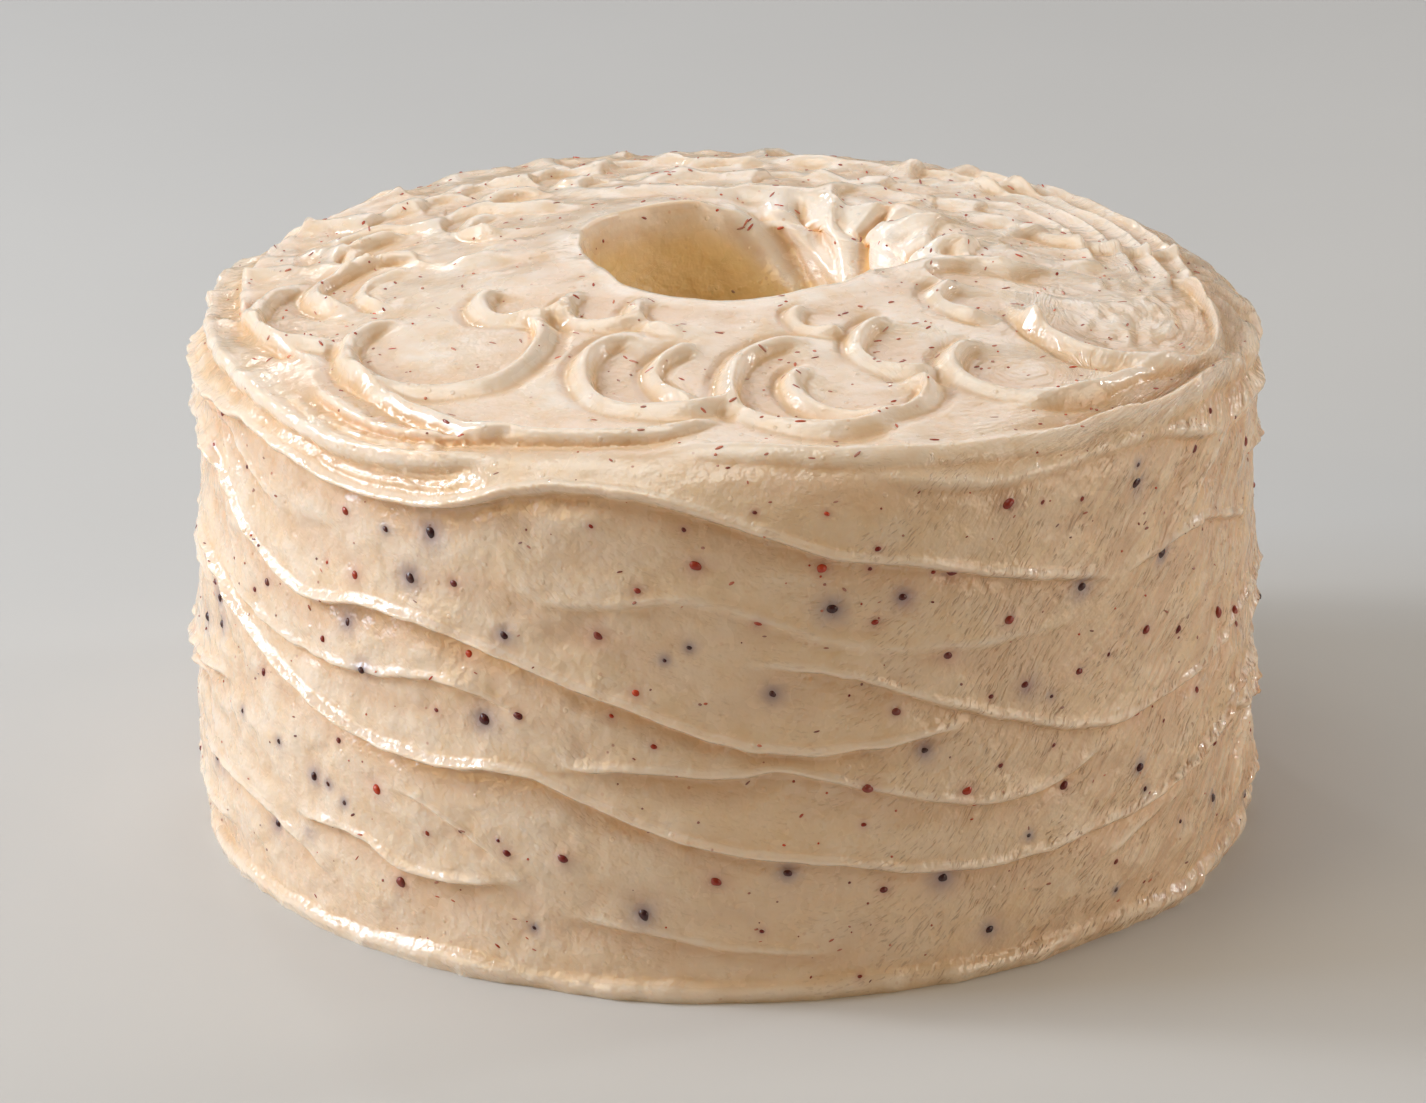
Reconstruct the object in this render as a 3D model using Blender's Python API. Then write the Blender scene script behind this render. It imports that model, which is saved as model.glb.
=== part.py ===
"""Lemon pound cake: a tall ring cake under a swirled coat of frosting, as one solid.

Frame: +Z up, the origin in the middle of the underside, the shown side towards -Y.
All sizes here are in millimetres, and the finished mesh is scaled to metres once.
The skin is one sheet: an outline is turned round the cake's axis, and every point of it is
pushed out along its normal by the relief that a spatula leaves. Angles are in degrees round
the axis from -Y, positive towards +X. "Up" is the distance along the outline from the foot.
"""
import math
from collections import namedtuple

import bmesh
import bpy
import numpy as np

MM = 0.001

# Driving dimensions
CAKE_RADIUS = 116.0
SHOULDER_HEIGHT = 115.6
CROWN_HEIGHT = 127.9
HOLE_RADIUS = 28.0

# The half outline's corners, before rounding
BELLY_RADIUS, BELLY_HEIGHT, BELLY_ROUNDING = CAKE_RADIUS + 0.9, 40.0, 150.0
SHOULDER_RADIUS, SHOULDER_ROUNDING = CAKE_RADIUS - 0.8, 14.0
CROWN_RADIUS, CROWN_ROUNDING = HOLE_RADIUS + 7.0, 7.5
THROAT_RADIUS, THROAT_HEIGHT, THROAT_ROUNDING = HOLE_RADIUS + 3.5, 98.0, 40.0

# Distances up the outline where one region passes into the next
SHOULDER_UP = 117.0
LIP_MIDDLE = 191.1
LIP_UP = 195.0

# Spacing of the skin's points before it is thinned, and the triangles left after that
STEP_UP = 1.1
STEP_ROUND = 1.6
TARGET_TRIANGLES = 9000

FROSTING_COLOUR = (0.86, 0.71, 0.53, 1.0)
FROSTING_ROUGHNESS = 0.38

# A ridge is the edge of one pull of the spatula along the side: it rises gently to its crest
# over "slope" and drops below it over "drop". Its path is (angle, up).
Ridge = namedtuple("Ridge", "crest drop slope path")
ROLL_WIDTH = 3.2
SIDE_RIDGES = [
    # the lip pushed over from the top, which sweeps down to the right
    Ridge(2.4, 1.7, 13, [(-100, 104), (-70, 106.3), (-60, 107), (-40, 103.6), (-25, 108), (-15, 111.6),
                         (-5, 109), (5, 103), (15, 96.3), (30, 89.7), (45, 81.5)]),
    Ridge(1.1, 1.4, 8, [(42, 81.5), (50, 84.7), (60, 86.3), (70, 80.2), (78, 76)]),
    Ridge(1.2, 2.0, 8, [(14, 115), (25, 110.5), (38, 110.6), (46, 111), (52, 110), (58, 106.5), (67, 103)]),
    # the band below it
    Ridge(2.3, 1.6, 11, [(-82, 100), (-66, 91), (-60, 83), (-50, 76), (-40, 79), (-30, 77.5),
                         (-10, 65.8), (0, 58.6), (10, 56.2), (28, 59)]),
    Ridge(1.7, 1.5, 10, [(0, 76.5), (10, 73.6), (20, 65.6), (30, 58.2), (40, 51.9), (46, 50.5),
                         (60, 53.6), (72, 60), (80, 62)]),
    Ridge(1.0, 1.2, 7, [(-70, 72), (-60, 65.8), (-47, 63.3), (-30, 66.1), (-20, 60.5)]),
    Ridge(0.8, 2.0, 8, [(-25, 92), (-20, 88), (-2, 89), (10, 80.8), (25, 76), (42, 77)]),
    # the low band, round the whole front
    Ridge(2.3, 1.6, 11, [(-84, 78), (-72, 70), (-60, 60.3), (-50, 54.2), (-40, 49.3), (-20, 48.2),
                         (-10, 40.8), (0, 34.9), (15, 29.4), (25, 26.3), (40, 27.8), (50, 29.4),
                         (60, 35), (70, 42), (86, 45)]),
    Ridge(1.5, 1.3, 8, [(-20, 50.5), (-10, 51.7), (5, 52.5), (15, 46.5), (25, 41.2), (35, 41.1), (46, 49)]),
    # short pulls near the foot and at the far right
    Ridge(1.4, 1.5, 8, [(-82, 25), (-62, 23), (-55, 21), (-45, 12)]),
    Ridge(1.4, 1.3, 7, [(-54, 24), (-40, 25.2), (-30, 21.5), (-20, 24.5)]),
    Ridge(0.9, 1.6, 7, [(-20, 18), (-10, 16.3), (0, 12.7), (14, 10)]),
    Ridge(0.8, 1.3, 8, [(38, 17), (49, 23), (58, 28)]),
    Ridge(1.1, 1.4, 7, [(56, 90), (64, 100), (75, 105), (90, 100)]),
]
RIM_RIDGES = [
    Ridge(2.2, 3.0, 5, [(-112, 114), (-95, 113.5), (-75, 114.5), (-50, 112), (-38, 111.7), (-24, 118)]),
    Ridge(1.3, 1.4, 4, [(-56, 122), (-42, 117), (-34, 118), (-22, 126)]),
    Ridge(1.8, 3.0, 4.5, [(-60, 131), (-45, 126), (-30, 122.5), (-20, 124), (-6, 131), (2, 142)]),
    Ridge(1.7, 4.5, 4, [(-7, 125), (8, 122), (30, 118.3), (40, 116.5), (51, 115.2), (66, 115.1),
                        (84, 111.5), (100, 112.5)]),
    # the lip that ends at a recess inside the rim, and the recess itself, which is a ridge turned down
    Ridge(1.7, 3.0, 5, [(34, 132), (42, 127.2), (47, 125.2), (53, 125), (60, 123.5), (68, 119)]),
    Ridge(-2.3, 2.0, 6.5, [(34, 120), (40, 118.3), (51, 117), (66, 117), (73, 115.4)]),
    Ridge(1.0, 1.6, 5, [(-140, 124), (-100, 121), (-85, 121.5), (-58, 128)]),
    # long ridges that run side by side along the right of the top
    Ridge(1.5, 1.6, 4.5, [(80, 123), (90, 125), (110, 124), (130, 123), (152, 125)]),
    Ridge(1.5, 1.6, 4.5, [(86, 130), (100, 131.5), (120, 130), (140, 131), (158, 134)]),
    Ridge(1.3, 1.6, 5, [(92, 137), (112, 137.5), (128, 136), (146, 139)]),
]
# The hidden back carries the same kind of pulls, at these heights, laid in a loop
BACK_HEIGHTS = [100.0, 84.0, 66.0, 48.0, 30.0, 13.0]
BACK_START, BACK_END, BACK_PULLS = 78.0, 282.0, 2
BACK_CREST, BACK_DROP, BACK_SLOPE = 2.0, 1.6, 10.0
BACK_RISE = 8.0

# A swirl is a shallow dish that the spatula's tip turned in the top: its centre, its reach across
# and away, the arc (start, end) with a crisp wall, its depth and the crest of the lip round it.
Swirl = namedtuple("Swirl", "x y across away start end depth crest")
FRONT_SWIRLS = [
    Swirl(-98, -2, 15, 19, 140, 285, 1.0, 1.3),
    Swirl(-76, -18, 26, 24, 130, 262, 1.3, 1.6),
    Swirl(-70, -8, 19, 15, 75, 235, 1.4, 1.6),
    Swirl(-60, -50, 20, 21, 118, 392, 1.8, 1.2),
    Swirl(-42, -31, 10.5, 9, 130, 320, 1.7, 1.3),
    Swirl(-25, -36, 10, 9.5, 140, 320, 1.4, 1.0),
    Swirl(-8, -40, 12, 10, 150, 265, 1.2, 0.9),
    Swirl(-12, -68, 18, 19, 115, 322, 1.8, 1.3),
    Swirl(-4, -70, 10.5, 12, 100, 262, 1.3, 1.2),
    Swirl(19, -74, 18.5, 20, 95, 325, 1.8, 1.2),
    Swirl(27, -75, 13.5, 12, 135, 385, 1.1, 1.1),
    Swirl(38, -54, 10.5, 12, 112, 305, 1.6, 1.1),
    Swirl(66, 6, 14, 11, 130, 262, 1.2, 0.9),
    Swirl(56, -27, 11, 9, 130, 275, 1.4, 1.1),
    Swirl(63, -60, 16, 13, 128, 338, 1.7, 1.2),
    Swirl(83, -21, 22, 31, 192, 415, 1.5, 1.8),
]
# The peak where the spatula's tip lifted off the largest of them
PEAK_X, PEAK_Y, PEAK_HEIGHT, PEAK_WIDTH = 65.0, -38.8, 3.0, 3.4
WALL = 2.0
LIP_WIDTH = 5.5
# The back half of the top: rings of overlapping swirls laid in a loop, as
# (ring's radius, first angle, last angle, swirls, reach)
BACK_SWIRL_RINGS = [(101, 58, 268, 15, 17), (80, 66, 262, 12, 17), (58, 74, 258, 9, 15)]
BACK_SWIRL_DEPTH, BACK_SWIRL_CREST, BACK_SWIRL_ARC = 1.5, 1.05, 180.0

# The hole's wall is uneven. Its lip is crisp, and hangs over at the left.
HOLE_LUMPS = 0.8
LIP_SHARPNESS, LIP_HALF_TURN = 0.8, 0.8
OVERHANG_ANGLE, OVERHANG_SPREAD, OVERHANG = -72.0, 36.0, 5.2

# At the back right the lip was dragged down into a wide funnel, which leans as it goes down
FUNNEL_ANGLE, FUNNEL_FULL, FUNNEL_HALF = 136.0, 34.0, 64.0
FUNNEL_DEPTH, FUNNEL_LEAN = 6.0, 0.9

# A fold in the funnel is a ridge, or a groove where its height is negative. Its path is (up, angle).
Fold = namedtuple("Fold", "height width path")
FOLDS = [
    Fold(1.3, 3.2, [(178, 184), (184, 180), (198, 169), (206, 158), (216, 140)]),
    Fold(-1.3, 2.8, [(194, 170), (200, 161), (205, 154), (211, 143), (220, 128)]),
    Fold(1.2, 3.2, [(176, 170), (182, 166), (199, 153), (203, 142), (208, 128), (216, 113)]),
    Fold(-1.1, 2.6, [(176, 161), (182, 158), (189, 152.5), (200, 148)]),
    Fold(1.4, 3.2, [(174, 152), (181, 149), (197, 140), (204, 131), (208, 124), (216, 111)]),
    Fold(-0.8, 3.0, [(172, 137), (180, 134.5), (194, 132), (200, 129), (206, 121), (214, 109)]),
    Fold(1.6, 3.4, [(172, 125), (180, 123), (189, 121), (198, 119), (205, 113), (214, 101)]),
    Fold(-1.1, 2.6, [(174, 110), (188, 107), (198, 103), (208, 94)]),
    Fold(1.6, 3.6, [(172, 102), (184, 101), (194, 97), (201, 90), (212, 84)]),
    Fold(-1.8, 2.4, [(180, 86), (194, 82), (206, 74)]),
]

# The edge of frosting that was pushed out at the foot
FOOT_HEIGHT, FOOT_TOP, FOOT_DROP = 1.5, 2.2, 2.6


def smooth_step(low, high, value):
    t = np.clip((value - low) / (high - low), 0, 1)
    return t * t * (3 - 2 * t)


def swell(u):
    """Soft fall from 1 at 0 to 0 at 1."""
    return 0.5 + 0.5 * np.cos(np.pi * np.clip(u, 0, 1))


def rolled_edge(u):
    """Rounded top that falls from 1 at 0 to a crisp foot at 1."""
    return (1 - np.clip(u, 0, 1) ** 2) ** 0.8


def bump_at(distance, width):
    return np.exp(-(distance / width) ** 2)


def turned_from(angle, middle):
    """Angle from middle, between -180 and 180."""
    return (angle - middle + 180) % 360 - 180


def smooth_curve(knots, x):
    """Cubic curve through the knots (x, y), level past its ends."""
    kx, ky = np.array(knots, float).T
    tangent = np.gradient(ky, kx)
    i = np.clip(np.searchsorted(kx, x) - 1, 0, len(kx) - 2)
    width = kx[i + 1] - kx[i]
    t = np.clip((x - kx[i]) / width, 0, 1)
    start = (1 + 2 * t) * (1 - t) ** 2 * ky[i] + t * (1 - t) ** 2 * width * tangent[i]
    end = t * t * (3 - 2 * t) * ky[i + 1] + t * t * (t - 1) * width * tangent[i + 1]
    return start + end


def unevenness(points, cell, seed):
    """Smooth seeded noise from -1 to 1; cell is the size of its lumps along x, y and z."""
    size = 32
    table = np.random.default_rng(seed).uniform(-1, 1, (size, size, size))
    place = points / np.asarray(cell, float)
    low = np.floor(place).astype(int)
    part = place - low
    part = part ** 3 * (part * (6 * part - 15) + 10)
    total = 0
    for corner in np.ndindex(2, 2, 2):
        weight = np.prod(np.where(corner, part, 1 - part), axis=-1)
        index = (low + corner) % size
        total = total + weight * table[index[..., 0], index[..., 1], index[..., 2]]
    return total


def rounded_outline():
    """The half outline as points (radius, height), from the foot over the top and down the hole."""
    corners = [
        (CAKE_RADIUS, 0, 0),
        (BELLY_RADIUS, BELLY_HEIGHT, BELLY_ROUNDING),
        (SHOULDER_RADIUS, SHOULDER_HEIGHT, SHOULDER_ROUNDING),
        (CROWN_RADIUS, CROWN_HEIGHT, CROWN_ROUNDING),
        (THROAT_RADIUS, THROAT_HEIGHT, THROAT_ROUNDING),
        (HOLE_RADIUS, 0, 0),
    ]
    arc_points = 24
    points = [np.array(corners[0][:2], float)]
    for before, (radius, height, rounding), after in zip(corners, corners[1:], corners[2:]):
        corner = np.array((radius, height), float)
        back, onward = (np.array(p[:2]) - corner for p in (before, after))
        back, onward = back / np.linalg.norm(back), onward / np.linalg.norm(onward)
        half_angle = math.acos(back @ onward) / 2
        inward = (back + onward) / np.linalg.norm(back + onward)
        centre = corner + inward * rounding / math.sin(half_angle)
        start = corner + back * rounding / math.tan(half_angle)
        end = corner + onward * rounding / math.tan(half_angle)
        for t in np.linspace(0, 1, arc_points):
            spoke = start + (end - start) * t - centre
            points.append(centre + spoke / np.linalg.norm(spoke) * rounding)
    points.append(np.array(corners[-1][:2], float))
    return np.array(points)


def spread_outline():
    """Even steps along the outline: up, radius, height and the outward normal."""
    points = rounded_outline()
    run = np.concatenate([[0], np.cumsum(np.linalg.norm(np.diff(points, axis=0), axis=1))])
    up = np.linspace(0, run[-1], int(run[-1] / STEP_UP))
    radius, height = np.interp(up, run, points[:, 0]), np.interp(up, run, points[:, 1])
    out, rise = np.gradient(radius, up), np.gradient(height, up)
    length = np.hypot(out, rise)
    return up, radius, height, rise / length, -out / length


def ridge_relief(ridge, up, angle, points):
    """Height that one pull of the spatula adds, over the whole skin."""
    first, last = ridge.path[0][0], ridge.path[-1][0]
    middle = (first + last) / 2
    turned = turned_from(angle, middle) + middle
    fade = smooth_step(first, first + 9, turned) * (1 - smooth_step(last - 9, last, turned))
    above = up - smooth_curve(ridge.path, turned)
    roll = 0.45 * swell(above / ROLL_WIDTH) + 0.55 * swell(above / ridge.slope)
    shape = np.where(above >= 0, roll, rolled_edge(-above / ridge.drop))
    groove = 0.18 * bump_at(above / ridge.drop + 1.3, 0.9)
    strength = 0.85 + 0.25 * unevenness(points, (30, 30, 400), 12)
    strength *= 1.15 - 0.4 * smooth_step(-25, 12, angle) + 0.25 * smooth_step(40, 65, angle)
    return fade * ridge.crest * strength * (shape - groove)


def back_ridges():
    """Wavy pulls round the back, each starting where the one before it fades."""
    rng = np.random.default_rng(7)
    span = (BACK_END - BACK_START) / BACK_PULLS
    ridges = []
    for row, height in enumerate(BACK_HEIGHTS):
        for pull in range(BACK_PULLS):
            first = BACK_START + span * pull - 12 + 9 * (row % 2)
            angles = np.linspace(first, first + span + 16, 5)
            waves = np.sin(np.linspace(0, math.pi * 1.6, 5) + row * 2.1 + pull) * BACK_RISE
            path = list(zip(angles, height + waves * min(1, height / 30) + rng.uniform(-1.5, 1.5, 5)))
            ridges.append(Ridge(BACK_CREST * rng.uniform(0.7, 1.1), BACK_DROP, BACK_SLOPE, path))
    return ridges


def back_swirls():
    """Swirls in rings over the back half, the outer ring first."""
    rng = np.random.default_rng(5)
    swirls = []
    for ring_radius, first, last, count, reach in BACK_SWIRL_RINGS:
        for angle in np.linspace(first, last, count):
            a = math.radians(angle + rng.uniform(-4, 4))
            radius = ring_radius + rng.uniform(-4, 4)
            start = 105 + rng.uniform(-18, 18)
            swirls.append(Swirl(radius * math.sin(a), -radius * math.cos(a),
                                reach * rng.uniform(0.85, 1.2), reach * rng.uniform(0.72, 1),
                                start, start + BACK_SWIRL_ARC, BACK_SWIRL_DEPTH * rng.uniform(0.8, 1.2),
                                BACK_SWIRL_CREST * rng.uniform(0.7, 1.3)))
    return swirls


def press_swirl(swirl, x, y, height):
    """Press one swirl into the top's relief, wiping what lay there before."""
    reach = (swirl.across + swirl.away) / 2
    margin = 9
    near = (abs(x - swirl.x) < swirl.across + margin) & (abs(y - swirl.y) < swirl.away + margin)
    across, away = (x[near] - swirl.x) / swirl.across, (y[near] - swirl.y) / swirl.away
    outside = (np.hypot(across, away) - 1) * reach
    middle, half = (swirl.start + swirl.end) / 2, (swirl.end - swirl.start) / 2
    off = turned_from(np.degrees(np.arctan2(away, across)), middle)
    walled = 1 - smooth_step(half - 22, half + 8, abs(off))
    progress = np.clip(off / half, -1, 1)
    inner = walled * rolled_edge(-outside / WALL) + (1 - walled) * swell(-outside / (0.55 * reach))
    keep = np.where(outside >= 0, 1, inner)
    lip = np.where(outside < 0, 1, swell(outside / (LIP_WIDTH * (1 + 0.25 * progress))))
    crest = swirl.crest * walled * (0.97 + 0.22 * progress) * lip
    open_side = math.radians(middle + 180)
    tilt = np.clip(0.5 + 0.5 * (across * math.cos(open_side) + away * math.sin(open_side)), 0, 1)
    floor = -swirl.depth * (1 - 0.85 * tilt) + 0.2 * height[near]
    height[near] = keep * (height[near] + crest) + (1 - keep) * floor


def in_funnel(up, angle):
    """1 inside the funnel, 0 outside; it leans to the right as it goes down."""
    middle = FUNNEL_ANGLE - FUNNEL_LEAN * np.clip(up - LIP_MIDDLE + 6, 0, 28)
    return 1 - smooth_step(FUNNEL_FULL, FUNNEL_HALF, abs(turned_from(angle, middle)))


def hole_relief(up, angle, points):
    """The crisp lip of the hole, the funnel with its folds, and the uneven wall."""
    from_lip = up - LIP_MIDDLE
    dragged = in_funnel(up, angle)
    scoop = smooth_step(-19, 1, from_lip) * (1 - smooth_step(3, 23, from_lip))
    squared = np.clip(LIP_HALF_TURN - abs(from_lip) / CROWN_ROUNDING, 0, LIP_HALF_TURN)
    lip = LIP_SHARPNESS * CROWN_ROUNDING * (1 / np.cos(squared) - 1) * (1 - dragged)
    radius = np.hypot(points[..., 0], points[..., 1])
    folds = 0
    for fold in FOLDS:
        first, last = fold.path[0][0], fold.path[-1][0]
        beside = np.radians(turned_from(angle, smooth_curve(fold.path, up))) * radius / fold.width
        ends = smooth_step(first, first + 9, up) * (1 - smooth_step(last - 9, last + 6, up))
        folds = folds + fold.height * ends * bump_at(beside, 1.0)
    length = up.max()
    in_hole = smooth_step(6, 18, from_lip) * (1 - smooth_step(length - 25, length, up))
    lumps = HOLE_LUMPS * in_hole * unevenness(points, (10, 10, 26), 21)
    return lip - FUNNEL_DEPTH * scoop * dragged + folds + lumps


def lip_slide(up, angle, radius):
    """How far the lip hangs over, as a share of its distance from the axis."""
    hangs = bump_at(turned_from(angle, OVERHANG_ANGLE), OVERHANG_SPREAD)
    hangs = hangs * smooth_step(LIP_MIDDLE - 18, LIP_MIDDLE, up)
    return OVERHANG * hangs * (1 - smooth_step(LIP_MIDDLE + 10, LIP_MIDDLE + 50, up)) / radius


def skin():
    """The whole relief, as points in millimetres: one row for each step up the outline."""
    up, radius, rise, normal_out, normal_up = spread_outline()
    columns = int(2 * math.pi * CAKE_RADIUS / STEP_ROUND)
    turn = np.arange(columns) * 360 / columns - 180
    up, angle = np.meshgrid(up, turn, indexing="ij")
    outward = np.stack([np.sin(np.radians(angle)), -np.cos(np.radians(angle))], axis=-1)
    points = np.concatenate([outward * radius[:, None, None], (rise[:, None] + 0 * up)[..., None]], axis=-1)
    normals = np.concatenate([outward * normal_out[:, None, None], (normal_up[:, None] + 0 * up)[..., None]],
                             axis=-1)

    side = 0.55 * unevenness(points, (55, 55, 16), 3) + 0.22 * unevenness(points, (24, 24, 7), 4)
    top = 0.5 * unevenness(points, (26, 26, 26), 5)
    for swirl in back_swirls() + FRONT_SWIRLS:
        press_swirl(swirl, points[..., 0], points[..., 1], top)
    from_peak = np.hypot(points[..., 0] - PEAK_X, points[..., 1] - PEAK_Y)
    top += PEAK_HEIGHT * bump_at(from_peak, PEAK_WIDTH)
    on_top = smooth_step(SHOULDER_UP - 6, SHOULDER_UP + 8, up) * (1 - smooth_step(LIP_UP, LIP_UP + 12, up))
    height = side * (1 - on_top) + top * on_top

    for ridge in SIDE_RIDGES + RIM_RIDGES + back_ridges():
        height += ridge_relief(ridge, up, angle, points)
    height += hole_relief(up, angle, points)
    foot = rolled_edge(np.maximum(up - FOOT_TOP, 0) / FOOT_DROP)
    foot = foot * (1 + 0.3 * unevenness(points, (20, 20, 400), 31))
    height += FOOT_HEIGHT * foot - 0.8 * (1 - smooth_step(0, FOOT_TOP, up))

    points = points + normals * height[..., None]
    points[..., :2] *= 1 - lip_slide(up, angle, radius[:, None])[..., None]
    points[[0, -1], :, 2] = 0
    return points


def skin_mesh(points):
    """The skin as an open mesh of quads, closed round the cake but not across its underside."""
    rows, columns = points.shape[:2]
    index = np.arange(rows * columns).reshape(rows, columns)
    beside = np.roll(index, -1, axis=1)
    quads = np.stack([index[:-1], beside[:-1], beside[1:], index[1:]], axis=-1).reshape(-1, 4)
    mesh = bpy.data.meshes.new("frosted_cake")
    mesh.from_pydata((points * MM).reshape(-1, 3).tolist(), [], quads.tolist())
    return mesh


def thin(mesh):
    """A copy with far fewer triangles, fine along the ridges and coarse on the plain stretches."""
    dense = bpy.data.objects.new("dense_skin", mesh)
    bpy.context.scene.collection.objects.link(dense)
    decimate = dense.modifiers.new("Decimate", "DECIMATE")
    decimate.ratio = TARGET_TRIANGLES / (2 * len(mesh.polygons))
    bpy.context.view_layer.update()
    evaluated = dense.evaluated_get(bpy.context.evaluated_depsgraph_get())
    thinned = bpy.data.meshes.new_from_object(evaluated)
    bpy.data.objects.remove(dense)
    bpy.data.meshes.remove(mesh)
    return thinned


def close_underside(mesh):
    """Set the two foot edges level and fill the flat ring between them."""
    shell = bmesh.new()
    shell.from_mesh(mesh)
    rim = [edge for edge in shell.edges if edge.is_boundary]
    for edge in rim:
        for vertex in edge.verts:
            vertex.co.z = 0
    bmesh.ops.triangle_fill(shell, edges=rim, use_beauty=True, normal=(0, 0, -1))
    bmesh.ops.triangulate(shell, faces=shell.faces[:])
    bmesh.ops.recalc_face_normals(shell, faces=shell.faces[:])
    shell.to_mesh(mesh)
    shell.free()


def frosting_material():
    material = bpy.data.materials.new("frosting")
    material.use_nodes = True
    shader = material.node_tree.nodes["Principled BSDF"]
    shader.inputs["Base Color"].default_value = FROSTING_COLOUR
    shader.inputs["Roughness"].default_value = FROSTING_ROUGHNESS
    shader.inputs["Metallic"].default_value = 0.0
    return material


def main():
    for old in list(bpy.data.objects):
        bpy.data.objects.remove(old)
    mesh = thin(skin_mesh(skin()))
    close_underside(mesh)
    mesh.shade_smooth()
    mesh.set_sharp_from_angle(angle=math.radians(60))
    mesh.materials.clear()
    mesh.materials.append(frosting_material())
    cake = bpy.data.objects.new("frosted_cake", mesh)
    bpy.context.scene.collection.objects.link(cake)
    print("triangles", len(mesh.polygons), "size", [round(side, 4) for side in cake.dimensions])


main()
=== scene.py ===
# %% [markdown]
# # A frosted ring cake
# One uncut cake, coated all over in cream frosting that carries beads and flecks of fruit.
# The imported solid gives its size, its place and its collision. Here the same coat is made
# again much finer, from the same pulls and swirls of the spatula, and gets its finish.

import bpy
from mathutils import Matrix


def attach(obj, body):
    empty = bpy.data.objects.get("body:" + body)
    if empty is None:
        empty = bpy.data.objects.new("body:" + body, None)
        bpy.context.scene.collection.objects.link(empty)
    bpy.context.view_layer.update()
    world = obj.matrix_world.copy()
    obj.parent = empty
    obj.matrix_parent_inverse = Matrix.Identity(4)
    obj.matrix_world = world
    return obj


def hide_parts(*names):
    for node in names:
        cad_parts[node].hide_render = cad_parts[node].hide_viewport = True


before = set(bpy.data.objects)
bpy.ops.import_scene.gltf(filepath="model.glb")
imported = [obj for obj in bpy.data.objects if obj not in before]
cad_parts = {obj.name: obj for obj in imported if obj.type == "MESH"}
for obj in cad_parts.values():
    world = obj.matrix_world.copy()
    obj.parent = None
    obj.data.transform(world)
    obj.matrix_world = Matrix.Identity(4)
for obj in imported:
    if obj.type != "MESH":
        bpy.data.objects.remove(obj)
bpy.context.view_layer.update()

# %% Units and driving dimensions, in millimetres
import math
from collections import namedtuple

import bmesh
import bpy
import numpy as np
from mathutils import Vector

MM = 0.001
CAKE_RADIUS = 116.0
SHOULDER_HEIGHT = 115.6
CROWN_HEIGHT = 127.9
HOLE_RADIUS = 28.0

# %% [markdown]
# ## The outline
# Cut the cake in half and its edge is a simple line: up the side, round the shoulder, in along
# the gently domed top, over the lip and down the hole. It could be drawn as a curve object, but
# the relief below needs to know how far along the line each point is, so it is a table of
# evenly spaced points. Only the corners are given, each with the radius that rounds it.

# %% Outline of half the cake, from corners of (radius, height, rounding)
FOOT_CORNER = (CAKE_RADIUS - 0.2, 0, 0)
BELLY = (CAKE_RADIUS + 0.9, 40, 150)
SHOULDER = (CAKE_RADIUS - 0.8, SHOULDER_HEIGHT, 14)
CROWN = (HOLE_RADIUS + 7, CROWN_HEIGHT, 7.5)
THROAT = (HOLE_RADIUS + 3.5, 98, 40)
HOLE_FOOT = (HOLE_RADIUS, 0, 0)
CORNERS = [FOOT_CORNER, BELLY, SHOULDER, CROWN, THROAT, HOLE_FOOT]
ARC_POINTS = 25
TABLE_POINTS = 3000


def unit(vectors):
    return vectors / np.linalg.norm(vectors, axis=-1, keepdims=True)


def rounded_outline():
    points = [np.array(CORNERS[0][:2], float)]
    for before, (radius, height, rounding), after in zip(CORNERS, CORNERS[1:], CORNERS[2:]):
        corner = np.array((radius, height), float)
        back, onward = (unit(np.array(p[:2]) - corner) for p in (before, after))
        half_angle = math.acos(back @ onward) / 2
        centre = corner + unit(back + onward) * rounding / math.sin(half_angle)
        start = corner + back * rounding / math.tan(half_angle)
        end = corner + onward * rounding / math.tan(half_angle)
        for t in np.linspace(0, 1, ARC_POINTS):
            points.append(centre + unit(start + (end - start) * t - centre) * rounding)
    points.append(np.array(CORNERS[-1][:2], float))
    return np.array(points)


corner_points = rounded_outline()
run = np.concatenate([[0], np.cumsum(np.linalg.norm(np.diff(corner_points, axis=0), axis=1))])
LENGTH = run[-1]
fine_up = np.linspace(0, LENGTH, TABLE_POINTS)
fine_radius = np.interp(fine_up, run, corner_points[:, 0])
fine_height = np.interp(fine_up, run, corner_points[:, 1])
fine_out, fine_rise = np.gradient(fine_radius, fine_up), np.gradient(fine_height, fine_up)
print("outline", round(LENGTH, 1), "mm from the foot over the top and down the hole")


# %% The smooth cake: the outline turned round the axis
def base_skin(up, angle):
    """Points and outward normals of the smooth cake, before the frosting's relief."""
    turn = np.radians(angle)
    around = np.stack([np.sin(turn), -np.cos(turn), 0 * turn], axis=-1)
    upward = np.array([0.0, 0.0, 1.0])
    radius, height, out, rise = (np.interp(up, fine_up, table)[..., None]
                                 for table in (fine_radius, fine_height, fine_out, fine_rise))
    return around * radius + upward * height, unit(around * rise - upward * out)


# %% [markdown]
# ## Curves and noise
# Every mark in the frosting is a height above that smooth cake. A few soft curves shape the
# marks, and a seeded noise keeps them from looking machined. Blender's own noise would do, but
# it is called point by point, and this one takes a million points at once.

# %% Soft curves
def smooth_step(low, high, value):
    t = np.clip((value - low) / (high - low), 0, 1)
    return t * t * (3 - 2 * t)


def span(value, start, full, fade, end):
    """1 from full to fade, with a soft rise from start and a soft fall to end."""
    return smooth_step(start, full, value) * (1 - smooth_step(fade, end, value))


def swell(u):
    """Soft fall from 1 at 0 to 0 at 1."""
    return 0.5 + 0.5 * np.cos(np.pi * np.clip(u, 0, 1))


def rolled_edge(u):
    """Rounded top that falls from 1 at 0 to a crisp foot at 1."""
    return (1 - np.clip(u, 0, 1) ** 2) ** 0.8


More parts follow.
